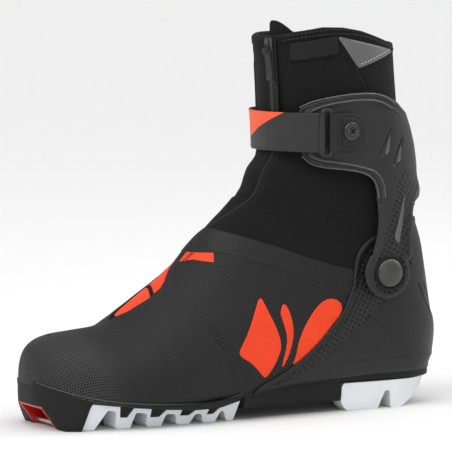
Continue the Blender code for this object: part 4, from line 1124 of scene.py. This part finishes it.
def strap_band(name, turns, inner, outer, width, extra=(), tip=None):
    """A length of strap: its section along the course, then at extra places, functions of (out, z)."""
    section = strap_section(inner, outer, width)
    out, z = section.T
    rows = [strap_place(np.full(len(section), t), out, STRAP_Z + z) for t in turns]
    rows += [np.array([shift(*point) for point in section]) for shift in extra]
    obj = lofted(name, rows, angle=50)
    run = np.repeat(2.0 * np.arange(len(rows)), len(section))
    set_places(obj.data, obj.data.uv_layers["pattern"], np.stack([run, np.tile(z, len(rows))], 1) * MM)
    beyond = [9] * len(extra)  # past every turn, so the tip's colour ends before it
    set_mask(obj.data, "tip", [tip(t, up) if tip else 0 for t in list(turns) + beyond for up in z])
    return obj


def orange_tip(turn, z):
    """1 inside the tip's colour: a curve that starts far along the top edge and drops to the free end."""
    share = (z + STRAP_W / 2) / STRAP_W
    reach = np.interp(share, [0.26, 0.34, 0.45, 0.58, 0.78, 1.0], [-0.32, -0.22, -0.09, 0.03, 0.27, 0.55])
    return float(np.clip(0.5 + (reach - turn) * 12, 0, 1))


def upright(name, x, y, half_height, to_x, to_y):
    """An upright oval bar at the strap's height, with the edges of its ends a little closer together."""
    return lofted(name, [[(x + to_x * math.cos(a), y + to_y * math.sin(a), STRAP_Z + z * half_height)
                          for a in circle(24)] for z in (-1, -0.97, 0, 0.97, 1)])


def nose_arc(x, radius_x, radius_z, steps):
    """Half an ellipse behind x, from the bottom to the top, in side view."""
    return [(x + radius_x * math.sin(a), STRAP_Z - radius_z * math.cos(a))
            for a in np.linspace(0, math.pi, steps)]


def strap_ends(film, hooks):
    """The free end with its fold and hook tape, and the base that goes round to the inner side."""
    bar = np.array(BAR_FRONT)
    last = strap_place(np.array(1.02), 1.8, 0)[:2]
    along = np.array([0.35, -0.94])

    def to_bar(share):
        here = last + (bar - (0.6, 1.7) - last) * share
        return lambda out, z: (*(here + along * (out - 1.8)), STRAP_Z + z)

    def along_side(x):
        return lambda out, z: (x, STRAP_B + out - 0.1, STRAP_Z + z)

    tail = strap_band("strap_tail_film", np.linspace(-0.25, 1.02, 96), 1.2, 2.35, STRAP_W,
                      [to_bar(0.5), to_bar(1.0)], orange_tip)
    finished(tail, film, "strap_end", "strap_webbing", "strap_tail")
    finished(upright("strap_fold", *bar, 12.6, 1.9, 1.9), film, "strap_end")
    patch = strap_band("strap_hook_tape", np.linspace(0.0, 0.8, 40), 0.4, 0.9, STRAP_W - 4)
    finished(patch, hooks, "strap_end", "lining", "hook_patch")
    base = strap_band("strap_base_film", np.linspace(0.98, -1.3, 130), -1.2, 0.0, STRAP_W,
                      [along_side(x) for x in (52, 56, SCREW_X, 68, SCREW_X + 9.5)])
    finished(base, film, "ankle_cuff", "strap_webbing", "strap_base")


def strap_ring(wire):
    """The wire loop, with rounded corners, between the free end and the anchor plate."""
    low, high = STRAP_Z - RING_HALF, STRAP_Z + RING_HALF
    corners = np.array([(*BAR_FRONT, low), (*BAR_FRONT, high), (*BAR_REAR, high), (*BAR_REAR, low)])
    path = []
    for before, c, after in zip(np.roll(corners, 1, 0), corners, np.roll(corners, -1, 0)):
        a = c + (before - c) / np.linalg.norm(before - c) * 2.4
        b = c + (after - c) / np.linalg.norm(after - c) * 2.4
        path += [(1 - t) ** 2 * a + 2 * t * (1 - t) * c + t * t * b for t in np.linspace(0, 1, 7)]
    ring = swept("strap_ring_wire", path, WIRE_R, closed=True)
    finished(ring, wire, "ankle_cuff", "black_steel", "strap_ring")


def strap_tab(plate):
    """The anchor plate: a base, a raised face and the fold round the ring's rear bar."""
    x, y = BAR_REAR
    outline = [(x + 0.6, STRAP_Z - TAB_HALF)] + nose_arc(SCREW_X, 11.5, TAB_HALF, 24)
    outline += [(x + 0.6, STRAP_Z + TAB_HALF)]
    tab = bevelled(prism("strap_tab_plate", outline[::-1], -45.0, -46.7), 0.6)
    finished(tab, plate, "ankle_cuff", "shell_plastic", "strap_tab")
    start = SCREW_X - 6.6
    outline = [(start, STRAP_Z - FACE_HALF)] + nose_arc(SCREW_X, 8.8, FACE_HALF, 20)
    outline += [(start, STRAP_Z + FACE_HALF)]
    face = bevelled(prism("strap_tab_face", outline[::-1], -46.0, -47.15), 0.5)
    finished(face, plate, "ankle_cuff", "shell_plastic")
    fold = upright("strap_tab_fold", x + 1.6, y + 0.4, TAB_HALF, 3.1, 2.4)
    finished(fold, plate, "ankle_cuff", "shell_plastic")


def strap_screws(metal):
    """The two cross-head screws that hold the anchor plate and the strap's inner end."""
    for (side, label), seat in zip(SIDES, (47.2, 46.4)):
        profile = [(0.02, 38.6), (2.2, 38.6)]
        profile += [(r, seat + h) for r, h in ((2.2, -0.3), (5.6, -0.3), (5.9, 0.1), (5.9, 0.9), (5.4, 1.4),
                                               (4.6, 1.5), (4.2, 1.15), (3.6, 1.05), (3.2, 1.4), (1.6, 1.6),
                                               (0.02, 1.65))]
        screw = turned("strap_bolt_" + label, profile, (SCREW_X, 0, SCREW_Z), side, 48)
        for angle in (45, 135):
            tool = block("cross_cut", (-2.3, -1.4, -0.48), (2.3, 1.4, 0.48))
            tool.matrix_world = (Matrix.Translation(Vector((SCREW_X, side * (seat + 1.5), SCREW_Z)) * MM)
                                 @ Matrix.Rotation(math.radians(angle), 4, "Y"))
            cut_by(screw, tool)
        smoothed(screw.data, 35)
        finished(screw, metal, "ankle_cuff", "black_steel", "strap_screw_" + label)


# ---------------------------------------------------------------- the sole


# The front tread in side view: its upper line with the outsole's teeth, and each lug's foot
TREAD_LINE = [(-119.6, 17.4), (-116.4, 18.0), (-112.9, 16.8), (-108.7, 16.4), (-100.2, 15.9), (-99.5, 7.6),
              (-94.6, 7.3), (-90, 13.7), (-77.9, 12.3), (-78.3, 6.5), (-71.9, 6.4), (-66.9, 10.9),
              (-55.8, 9.9), (-57.2, 6.1), (-50.4, 6), (-45.7, 9.2), (-36, 8.9), (-37.4, 5.4), (-32.4, 5.7),
              (-27.3, 9.9), (-12.4, 13.0)]
LUGS = [(-125.2, -116.2, -119.4, -108.2), (-102.2, -91.8, -102.2, -88.2), (-80.6, -70, -80.8, -66.7),
        (-59.5, -49.7, -59.8, -45.7), (-40.4, -30.6, -40.8, -27.2), (-22.7, -16.7, -24.4, -12.4)]
PLATEAU = [(-125.2, 17.6), (-110.2, 15.8), (-90.2, 13.2), (-66.2, 10.6), (-46.2, 9.2), (-28.2, 9.4),
           (-12.2, 12.8)]
HEEL_LINE = [(67.4, 18.4), (66.0, 17.6), (65.2, 15.6), (65.4, 6), (66.4, 4.0), (67.8, 2.4), (70.3, 0.2),
             (93.0, 0.0), (93.8, 0.4), (98.2, 10.6), (99.2, 11.7), (102.0, 11.7), (102.7, 11.0), (103.9, 0.6),
             (104.8, 0.0), (111.5, 0), (113.4, 0.6), (122.5, 5.6), (131.2, 13.6), (133.4, 16.6), (134, 18.4)]
ROOF = 2.9  # thickness of the tread between its lugs
CHANNEL_Y = 17.6  # half width of the channel between the inner and outer treads
TREAD_FROM, TREAD_TO, HEEL_FROM = -125.2, -11.8, 64.8  # ends of the front tread, start of the heel tread, x
FRONT_HALF = [(-127, 37), (-113, 39.4), (-95, 41), (-76, 41.4), (-55, 41.4), (-30, 40.2), (-13, 37.6)]
HEEL_HALF = [(60, 31.8), (98, 31), (115, 28.8), (122, 26.4), (127, 23.4), (131, 20.4), (134, 17.9)]


def tread_outline():
    lower = []
    for low_from, low_to, top_from, top_to in LUGS:
        roof_from, roof_to = table(PLATEAU, top_from) - ROOF, table(PLATEAU, top_to) - ROOF
        foot = []
        if low_from != LUGS[0][0]:
            foot += [(top_from - 1.5, roof_from + 0.1), (top_from, roof_from - 0.9), (low_from, 2.2),
                     (low_from + 1.6, 0.0)]
        teeth = np.linspace(low_from + 1.9, low_to - 0.6, 7)
        foot += [(x, 0.35 if k % 2 else 0.0) for k, x in enumerate(teeth)]
        lean = (roof_to - 0.3) / max(top_to - low_to, 0.1)
        foot += [(low_to, 0.3), (low_to + 0.4, 0.3 + 0.4 * lean)]
        if low_to != LUGS[-1][1]:
            foot += [(top_to - 0.6, roof_to - 0.8), (top_to + 0.6, roof_to)]
        lower += foot
    return TREAD_LINE + lower[::-1] + [(LUGS[0][0], 0.0)]


def tread_reach(half, taper):
    return lambda outline: np.interp(outline[:, 0], *np.array(half).T) * (
        1 - taper * (24 - outline[:, 1]) / 27)


def densely(outline, step=3.0, closed=True):
    """The outline with long straight runs divided, so that its sides can bend."""
    outline = np.asarray(outline, float)
    found = []
    for a, b in zip(outline, np.roll(outline, -1, 0) if closed else outline[1:]):
        n = max(1, int(np.linalg.norm(b - a) / step))
        found += [a + (b - a) * t for t in np.arange(n) / n]
    return np.array(found if closed else found + [outline[-1]])


def treads(material, rubber):
    """The white front and heel treads, and the outsole's teeth that stand in the front one."""
    line = np.array(TREAD_LINE)
    for side, label in SIDES:
        for name, shape, half, taper, node in (
                ("tread_ribbon_", tread_outline(), FRONT_HALF, 0.16, "tread_front_"),
                ("heel_block_", HEEL_LINE, HEEL_HALF, 0.1, "tread_heel_")):
            reach = tread_reach(half, taper)
            obj = prism(name + label, densely(shape), side * CHANNEL_Y, lambda o, r=reach: side * r(o), 30)
            finished(bevelled(obj, 0.9, 3, 28), material, "foot", "tread_rubber", node + label)
        reach = tread_reach(FRONT_HALF, 0.16)
        for k in (4, 8, 12, 16):
            tooth = line[k:k + 4] + [(0.12, 1.2), (0.12, 0.12), (-0.06, 0.12), (-0.12, 1.2)]
            obj = prism("sole_tooth_%s_%d" % (label, k // 4), densely(tooth), side * (CHANNEL_Y + 0.3),
                        lambda o, r=reach: side * (r(o) - 0.15))
            finished(bevelled(obj, 0.5, 2), rubber, "foot", "sole_rubber")


def sole_half(x):
    """The sole's half width, round in plan at the toe and the heel."""
    rows = through(FOOTPRINT, [6] * (len(FOOTPRINT) - 1))
    return np.interp(x, rows[:, 0], rows[:, 1])


def sole_low(x):
    """The height of the black sole's lower face at x."""
    if x < TREAD_FROM:
        return float(table([(-145.5, 15), (-140.2, 8), (-134.8, 0), (-125.6, 0)], x))
    if x < -119.6:
        return (x - TREAD_FROM) * 3.1
    if x < TREAD_TO:
        return float(table(PLATEAU, x)) + 0.3
    return 7.0 if x < HEEL_FROM else 18.7


def outsole_piece(material):
    """The black sole: a bumper at the toe, a wall up to the upper and a lip along its top."""
    runs = ((-147.3, -143, 8), (-142, -125.4, 16), (-125.1, -12.6, 80), (-12.2, -12.2, 1), (-11.9, -11.9, 1),
            (-11.2, -11.2, 1), (-10.5, 64.2, 50), (64.6, 64.6, 1), (65.0, 65.0, 1), (65.6, 65.6, 1),
            (67, 131, 44), (132, 143.6, 14))
    rows = []
    for x in np.concatenate([np.linspace(*run) for run in runs]):
        half = float(sole_half(x))
        top = float(table(FEATHER, x)) - 0.2
        low = min(sole_low(x), top - 2.5)
        edge = min(1.0, (top - low) / 6)
        side = []
        for t in np.arange(13) / 12:
            z = low + (top - low) * t
            wide = half * (0.92 + 0.08 * t ** 0.7)
            wide -= 0.9 * edge * max(0.0, 1 - t * (top - low) / 1.2) ** 2
            lip = float(smoothstep(-146, -136, x)) * math.exp(-(((top - 1.5) - z) / 1.2) ** 2)
            dip = -0.5 * math.exp(-(((top - 4.2) - z) / 0.8) ** 2) * edge
            side.append((wide + lip + dip, z))
        side += [(half * 0.965, top + 0.7), (half * 0.9, top + 0.9)]
        rows.append([(x, -y, z) for y, z in side] + [(x, y, z) for y, z in side[::-1]])
    obj = lofted("outsole_moulding", rows, angle=38)
    cut_by(obj, block("pocket", (-170, -17.4, -6), (-125.3, 17.4, 15.4)))
    smoothed(obj.data, 38)
    finished(obj, material, "foot", "sole_rubber", "outsole")


def toe_fitting(red, steel):
    """The red channel in the toe, with rounded lips, and the steel bar across it."""
    side = [(-145.2, 15.1), (-143.6, 12.0), (-139.6, 7.2), (-136.0, 1.8), (-133.6, 0.2), (-126.0, 0.2),
            (-126.0, 15.1)]
    body = prism("toe_channel", densely(side, 2.0), -17.3, 17.3)
    cut_by(body, block("hollow", (-170, -15.0, -6), (-128.0, 15.0, 13.1)))
    finished(bevelled(body, 0.7, 3, 40), red, "foot", "red_plastic", "toe_insert")
    profile = [(0.02, -15.2), (1.5, -15.2), (1.7, -14.9), (1.7, 14.9), (1.5, 15.2), (0.02, 15.2)]
    bar = turned("toe_bar", profile, (-133.4, 0, 3.6), 1, 32)
    finished(bar, steel, "foot", "steel", "binding_bar")


# ---------------------------------------------------------------- zip, label and collar trim


ZIP_FOOT = np.array([24.2, -12.0, 199.5])
ZIP_UP = np.array([-0.06142, 0, 0.99811])
ZIP_OUT = np.array([-0.97244, -0.22536, -0.05984])
ZIP_ACROSS = np.array([0.22493, -0.97428, 0.01384])
ZIP_LENGTH = 45.586


ZIP_ASIDE = 1.3  # how far the zip's middle stands aside from its foot
TOOTH_PITCH, TOOTH_LENGTH = 0.72, 0.86


def zip_place(across, up, out):
    return ZIP_FOOT + ZIP_ACROSS * (across + ZIP_ASIDE) + ZIP_UP * up + ZIP_OUT * out


def zip_solid(name, outline, low, high, bevel=0.3, segments=3, dip=None):
    """A flat outline in the zip's plane (across, up), between two heights above the collar."""
    outline = [(u, v, dip(v) if dip else 0.0) for u, v in np.asarray(outline, float)]
    near, far = ([zip_place(u, v, level - d) for u, v, d in outline] for level in (low, high))
    return bevelled(slab(name, near, far), bevel, segments)


def joined(name, pieces):
    """Several mesh objects as one."""
    base = bmesh.new()
    for piece in pieces:
        applied(piece)
        base.from_mesh(piece.data)
        bpy.data.objects.remove(piece, do_unlink=True)
    mesh = bpy.data.meshes.new(name)
    base.to_mesh(mesh)
    base.free()
    smoothed(mesh, 40)
    return placed(name, mesh)


def mirrored(half):
    """An outline from its right half."""
    other = [(-u, v) for u, v in half]
    return other[:1] + half + other[:0:-1]


def zip_teeth(metal):
    """The coil: small hooked teeth from the two sides in turn, up to the slider."""
    verts, faces = [], []
    for k in range(int((ZIP_LENGTH + 8) / TOOTH_PITCH)):
        u0, u1 = (-0.35, 2.1) if k % 2 else (-2.1, 0.35)
        v0 = -9 + k * TOOTH_PITCH
        if v0 > ZIP_LENGTH - 3:
            break
        first = len(verts)
        for w, inset in ((0.5, 0.0), (1.25, 0.0), (1.6, 0.22)):
            low, high = v0 + inset * 0.6, v0 + TOOTH_LENGTH - inset * 0.6
            for u, v in ((u0 + inset, low), (u1 - inset, low), (u1 - inset, high), (u0 + inset, high)):
                verts.append(zip_place(u, v, w))
        for corner in (first, first + 4):
            faces += [(corner + m, corner + (m + 1) % 4, corner + 4 + (m + 1) % 4, corner + 4 + m)
                      for m in range(4)]
        faces += [(first + 3, first + 2, first + 1, first), (first + 8, first + 9, first + 10, first + 11)]
    finished(make("zip_teeth", verts, faces, angle=30), metal, "ankle_cuff", "zip_plastic", "zip_chain")


def zip_pieces(tape, metal, rubber, dark):
    strip = [(-4.6, -12), (4.6, -12), (4.6, ZIP_LENGTH - 1), (-4.6, ZIP_LENGTH - 1)]
    finished(zip_solid("zip_tape", strip, 0.1, 0.55, 0.2, 2), tape, "ankle_cuff", "zip_plastic")
    flap = [(0.4, -14), (5.6, -14), (5.6, 15.2), (4.6, 16.4), (1.4, 16.4), (0.4, 15.2)]
    finished(zip_solid("zip_flap", flap, 1.0, 1.85, 0.35), tape, "ankle_cuff", "softshell")
    zip_teeth(metal)
    top = ZIP_LENGTH
    low, high = top - 28, top - 6.4
    slider = mirrored([(2.1, top - 8.6), (3.1, top - 6.2), (3.5, top - 2.2), (2.4, top), (0.8, top - 0.9)])
    bridge = mirrored([(0.9, top - 7.4), (1.1, top - 4), (0.9, top - 1.6)])
    pull = mirrored([(2.2, high), (2.7, high - 2.5), (2.5, high - 12), (3.0, low + 3.5), (2.6, low + 0.8),
                     (1.6, low)])

    def dip(v):
        return 2.5 * float(smoothstep(0, 9, high - v))

    body = joined("zip_slider_body", [zip_solid("slider_plate", slider, 1.9, 3.2, 0.4),
                                      zip_solid("slider_bridge", bridge, 3.0, 4.3, 0.45)])
    finished(body, metal, "slider", "zip_plastic", "zip_slider")
    mark = [(-1.0, low + 6.5), (1.0, low + 6.5), (1.0, low + 9), (-1.0, low + 9)]
    rib = [(-1.7, high - 1.2), (1.7, high - 1.2), (1.9, high - 3.6), (-1.9, high - 3.6)]
    tab = joined("zip_pull_tab", [zip_solid("pull_body", densely(pull, 1.6), 4.9, 6.3, 0.4, dip=dip),
                                  zip_solid("pull_mark", mark, 6.0, 6.6, 0.15, 2, dip),
                                  zip_solid("pull_rib", rib, 6.0, 6.6, 0.25, 2)])
    finished(tab, rubber, "pull", "pull_rubber", "zip_pull")
    course = [zip_place(0.9 * math.sin(a), high + 0.4 + 1.5 * math.cos(a), 4.7 + 0.3 * math.cos(a))
              for a in circle(28)]
    finished(swept("pull_link", course, 0.45, sides=8, closed=True), dark, "pull")


def guard_piece(form, material):
    """The rounded tab that stands above the rim behind the zip."""
    ys = np.linspace(-22.6, -5.4, 56)
    rise = np.interp(ys + 2.6, [-20, -18.5, -16.5, -14.5, -12, -9.5, -7, -5, -3.5, -2.8],
                     [0.0, 2.0, 4.3, 6.2, 8.0, 9.2, 9.9, 10.0, 9.2, 7.4])
    front = form.grid[-1]
    front = front[front[:, 0] < 60]
    front = front[np.argsort(front[:, 1])]
    rim_x, rim_z = (np.interp(ys, front[:, 1], front[:, k]) for k in (0, 2))
    t = (np.arange(26) / 25)[:, None]
    z = (rim_z - 30) + (30 + rise) * t
    x = rim_x + 5.4 + (rim_z - z) * 0.055 + 0.5 * smoothstep(0.75, 1.0, t)
    grid = np.stack([x, np.broadcast_to(ys, x.shape), z], -1)
    obj = cut_grid("zip_guard_tab", grid, np.full(x.shape, 1.0), wrap=False)
    bevelled(thickened(obj, 1.9, 0), 0.8, 3, 50)
    for label, value in (("panel", 0.55), ("welt", 0)):
        set_mask(obj.data, label, np.full(len(obj.data.vertices), value))
    finished(obj, material, "ankle_cuff", "softshell", "zip_guard")


def footbed(material):
    """The insole: a foam bed with a raised edge, a heel cup and an arch."""
    rows = []
    for x in np.linspace(-129, 119, 90):
        half = max(3.0, float(sole_half(x)) - 13.5 - 3.0 * float(smoothstep(100, 119, x)))
        base = float(table(FEATHER, x))
        cup = 1.6 * float(smoothstep(40, 80, x)) + 0.4
        across = np.linspace(-1, 1, 33)
        top = [(x, half * a, base + 8.6 + cup * abs(a) ** 4 - 0.5 * math.exp(-((a * half) / 9) ** 2)
                - 0.8 * (abs(a) > 0.985)) for a in across]
        rows.append(top + [(x, half * a * 0.97, base + 6.0) for a in across[::-1]])
    obj = lofted("footbed", rows, angle=60)
    finished(obj, material, "foot", "foam", "insole")


def tongue_pad(form, material):
    """The quilted tongue inside the lacing."""
    grid, _, y, z = form.parts()
    keep = np.minimum(np.minimum(TONGUE_HALF - np.abs(y), z - TONGUE_LOW), TONGUE_HIGH - z)
    keep = np.where(front_half(grid), keep, -3.0)
    share = np.clip((z - TONGUE_LOW) / (TONGUE_HIGH - TONGUE_LOW), 0, 1)
    puff = 0.9 * np.sin(share * math.pi * 6) ** 2 * np.cos(y / TONGUE_HALF * math.pi / 2)
    full = form.raised(-(TONGUE_DEEP + puff + rolled(keep, 2.5, 1.6)))
    shown = (keep > 0).any(1)
    part = slice(max(int(np.argmax(shown)) - 1, 0), len(keep) - int(np.argmax(shown[::-1])) + 1)
    obj = cut_grid("tongue_pad", full[part], np.maximum(keep[part], -3.0))
    obj.data.flip_normals()
    finished(thickened(obj, 2.2), material, "foot", "foam", "tongue")


# ---------------------------------------------------------------- stage


def aimed(name, data, azimuth, elevation, target, far):
    """A lamp or camera looking at a target from that azimuth and elevation."""
    a, e = math.radians(azimuth), math.radians(elevation)
    away = Vector((math.sin(a) * math.cos(e), -math.cos(a) * math.cos(e), math.sin(e)))
    obj = placed(name, data)
    obj.location = Vector(target) + away * far
    obj.rotation_euler = away.to_track_quat("Z", "Y").to_euler()
    return obj


def stage_and_light():
    floor = bpy.data.meshes.new("floor")
    far = 24.0
    floor.from_pydata([(-far, -far, 0), (far, -far, 0), (far, far, 0), (-far, far, 0)], [], [(0, 1, 2, 3)])
    net = fresh("floor_paper", 0.9, specular=0.1)
    net.put(net.shader.inputs["Base Color"], net.greys(net.noise(3.0, 2.0), 0.80, 0.81))
    dress(placed("floor", floor), net.made)
    for name, kind, energy, size, azimuth, elevation, far in LIGHTS:
        light = bpy.data.lights.new(name, kind)
        if kind == "SUN":
            light.angle = math.radians(size[0])
        else:
            light.shape = "RECTANGLE"
            light.size, light.size_y = size
        light.energy = energy
        aimed(name, light, azimuth, elevation, (0, 0, 0.1), far)
    world = bpy.data.worlds.new("studio")
    world.use_nodes = True
    back = world.node_tree.nodes["Background"]
    back.inputs["Color"].default_value = (1, 1, 1, 1)
    back.inputs["Strength"].default_value = WORLD
    bpy.context.scene.world = world
    bpy.context.scene.view_settings.view_transform = "Standard"


# Lights: name, kind, strength, size in metres or a sun's angle, azimuth, elevation and distance from the boot
LIGHTS = [("key", "SUN", 1.2, (46,), -60, 50, 2), ("top", "SUN", 1.0, (60,), 40, 80, 2),
          ("front", "SUN", 0.32, (34,), -12, 13, 2),
          ("rim", "AREA", 7, (0.5, 1.2), 84, 36, 1.5), ("strip", "AREA", 3.4, (0.35, 1.2), -86, 40, 1.4)]
WORLD = 0.46
VIEW_AZIMUTH, VIEW_ELEVATION, VIEW_FAR, VIEW_LENS = -28, 5.2, 2.5, 306.6
VIEW_TARGET = (-0.0042, 0, 0.1223)


def camera():
    data = bpy.data.cameras.new("camera")
    data.lens = VIEW_LENS
    data.sensor_width = 36
    data.clip_end = 50
    bpy.context.scene.camera = aimed("camera", data, VIEW_AZIMUTH, VIEW_ELEVATION, VIEW_TARGET, VIEW_FAR)


# ---------------------------------------------------------------- the boot


def emblem():
    """A generic mark of three leaf-like shapes, in side view."""
    left = [(-21, 44), (-16.5, 51), (-11, 60), (-4.5, 74), (-1, 80.5), (2.5, 73), (6, 66), (9.6, 59),
            (12.4, 52), (13, 46), (10.6, 40), (7, 34), (2.4, 28.2), (0.5, 27.6), (-4, 32), (-10, 38)]
    middle = [(17.6, 48), (17.4, 55), (15, 62.5), (12.4, 69), (16.4, 76), (20.6, 68), (22.8, 59), (22.4, 51),
              (19.4, 42), (15.6, 35), (12.6, 31)]
    right = [(24.6, 40), (26.4, 49), (31, 58), (37.4, 67), (43.6, 73), (50, 76), (56.6, 75), (60.4, 71.6),
             (60.4, 66), (54, 60), (45, 50), (33, 40.4), (21, 32.8)]
    return [rounded(left, 2), rounded(middle, 2), rounded(right, 2)]


def build():
    form = Form(upper_surface())
    fabric = softshell()
    film = vamp()
    moulding = shell("shell_moulding", 0.0075, 0.0105, 0.05)
    # The cuff's copy of the shell plastic is painted paler than the counter's: painted light on the cuff.
    cuff_plastic = shell("cuff_plastic", 0.0155, 0.0215, 0.036)
    rubber = sole_rubber()
    strap = strap_film()
    orange = print_ink("orange_print", (0.88, 0.06, 0.014))
    ink = plastic("black_print", (0.012, 0.012, 0.012), 0.5)
    white = plastic("tread_white", (0.84, 0.855, 0.88), 0.5, 0.05, wear=1.02)
    red = plastic("red_moulding", (0.52, 0.012, 0.010), 0.36, 0.04, coat=0.15)
    steel = plastic("bar_steel", (0.62, 0.60, 0.57), 0.3, 0.02, metallic=1.0)
    dark_steel = plastic("black_steel_finish", (0.045, 0.046, 0.048), 0.3, 0.02, metallic=0.85)
    bolt = plastic("bolt_finish", (0.05, 0.05, 0.051), 0.28, 0.02, metallic=0.6)
    cap = plastic("cap_moulding", (0.04, 0.039, 0.0365), 0.36, 0.05)
    # Pale plastic for the painted highlights on the cuff's trims, fins and facet.
    facet = plastic("cuff_highlight_paint", (0.09, 0.09, 0.09), 0.34, 0.02)
    # Pale plastic for the painted highlight along the feather line.
    edge = plastic("edge_line", (0.07, 0.07, 0.069), 0.45, 0.02)
    zip_dark = plastic("zip_metal", (0.09, 0.088, 0.082), 0.34, 0.02, metallic=0.7)
    pull = plastic("pull_moulding", (0.016, 0.0165, 0.018), 0.5, 0.05)
    lining = cloth("lining_knit", (0.022, 0.022, 0.023), (1.5, 1.1), 0.25, sheen=0.2)
    tape = cloth("tape_weave", (0.016, 0.016, 0.017), (0.5, 0.9), 0.08)
    label = cloth("label_weave", (0.011, 0.011, 0.012), (0.32, 0.45), 0.05, rough=0.75)
    hooks = cloth("hook_tape", (0.02, 0.02, 0.02), (0.9, 0.9), 0.4)
    foam = cloth("footbed_cloth", (0.05, 0.05, 0.052), (0.8, 0.8), 0.1, sheen=0.1)
    thread = plastic("thread", (0.026, 0.026, 0.028), 0.7, 0.02)
    pale_thread = plastic("pale_thread", (0.55, 0.55, 0.55), 0.7, 0.02)
    board = cloth("board_fibre", (0.28, 0.25, 0.2), (1.2, 1.2), 0.05)
    cord = cloth("cord_braid", (0.03, 0.03, 0.03), (0.5, 0.5), 0.08)
    reflective = reflective_film()

    softshell_piece(form, fabric)
    lining_piece(form, lining)
    vamp_piece(form, film)
    counter_piece(form, moulding)
    strip_on_instep(form, orange)
    decal("side_mark", form, emblem(), 0.72, orange, "foot")
    tag = [(-2.6, 100.2), (-1.8, 106.4), (-19.4, 106.9), (-23.4, 101.2), (-12, 102.4)]
    decal("instep_tag", form, [tag], 1.0, orange, "foot", front=True)
    slashes = [[(-5.0, 100.4), (-6.0, 100.6), (-7.4, 106.8), (-6.4, 106.7)],
               [(-7.0, 100.9), (-8.0, 101.1), (-9.4, 107.0), (-8.4, 106.9)]]
    decal("tag_slashes", form, slashes, 1.2, ink, "foot", front=True)
    for name, outline, corner, lift, material, slot, node in (
            ("collar_label", [(29.7, 241.2), (57.6, 246.0), (58.2, 234.2), (30.2, 229.4)], 1.2, 1.1, label,
             "label_cloth", "woven_label"),
            ("collar_reflector", [(57.4, 245.6), (104.4, 235.4), (103.8, 234.0), (73.2, 224.4)], 0.8, 0.75,
             reflective, "reflective", "reflective_patch")):
        decal(name, form, [cornered(outline, corner)], lift, material, "ankle_cuff", (-1,), slot,
              nodes=(node,))
    stitches("reflector_stitch", form, [(74.5, 227.0), (101.0, 236.0)], 0.95, 2.6, 1.5, 0.28, pale_thread,
             "ankle_cuff")
    stitches("seam_stitch", form, [(62, 241), (73.0, 222.0), (80.3, 210.3)], 0.25, 2.4, 1.4, 0.25, thread,
             "ankle_cuff")
    stitches("band_stitch", form, BAND_LOW[1:], 0.75, 2.0, 1.2, 0.22, thread, "foot")
    stitches("band_stitch_medial", form, BAND_LOW[1:], 0.75, 2.0, 1.2, 0.22, thread, "foot", side=1)
    hem = [(x, z - HEM + 1.0) for x, z in ((26, 248), (40, 251), (55, 252.6), (70, 252.0), (85, 248.4),
                                           (100, 243.4), (110, 241))]
    piping(form, cord)
    stitches("hem_stitch", form, hem, 0.6, 2.2, 1.5, 0.34, thread, "ankle_cuff")
    upper = [(x, z + 2.6) for x, z in hem[:-3]]
    stitches("hem_stitch_upper", form, upper, 0.5, 2.2, 1.3, 0.28, thread, "ankle_cuff")
    cuff_piece(cuff_plastic, facet)
    pivot_caps(cap, rubber)
    strap_ends(strap, hooks)
    strap_ring(dark_steel)
    strap_tab(moulding)
    strap_screws(bolt)
    outsole_piece(rubber)
    # A pale bead along the feather line: a painted highlight on the sole's top edge.
    feather = [(x, float(table(FEATHER, x)) + 0.9) for x in np.linspace(-146, -14, 30)]
    bead("feather_line", form, feather, 1.2, 0.27, edge, "foot", "sole_rubber")
    treads(white, rubber)
    toe_fitting(red, steel)
    zip_pieces(tape, zip_dark, pull, dark_steel)
    guard_piece(form, fabric)
    footbed(foam)
    tongue_pad(form, foam)
    kept = {"lasting_board": board, "lace": cord, "lace_lock": ink}
    for _, side in SIDES:
        kept.update({"pivot_rivet_" + side: steel, "tee_nut_" + side: steel})
        kept["pivot_washer_" + side] = dark_steel
    for node, material in kept.items():
        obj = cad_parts[node]
        if not len(obj.material_slots):
            obj.data.materials.append(material)
        for place in obj.material_slots:
            place.material = material


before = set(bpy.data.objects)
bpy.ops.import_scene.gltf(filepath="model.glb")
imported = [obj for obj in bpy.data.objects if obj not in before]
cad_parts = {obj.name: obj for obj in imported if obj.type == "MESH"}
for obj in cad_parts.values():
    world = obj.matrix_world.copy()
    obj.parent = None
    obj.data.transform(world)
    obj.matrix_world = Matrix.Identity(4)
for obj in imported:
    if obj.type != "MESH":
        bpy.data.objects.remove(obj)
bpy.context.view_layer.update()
camera()
stage_and_light()
build()
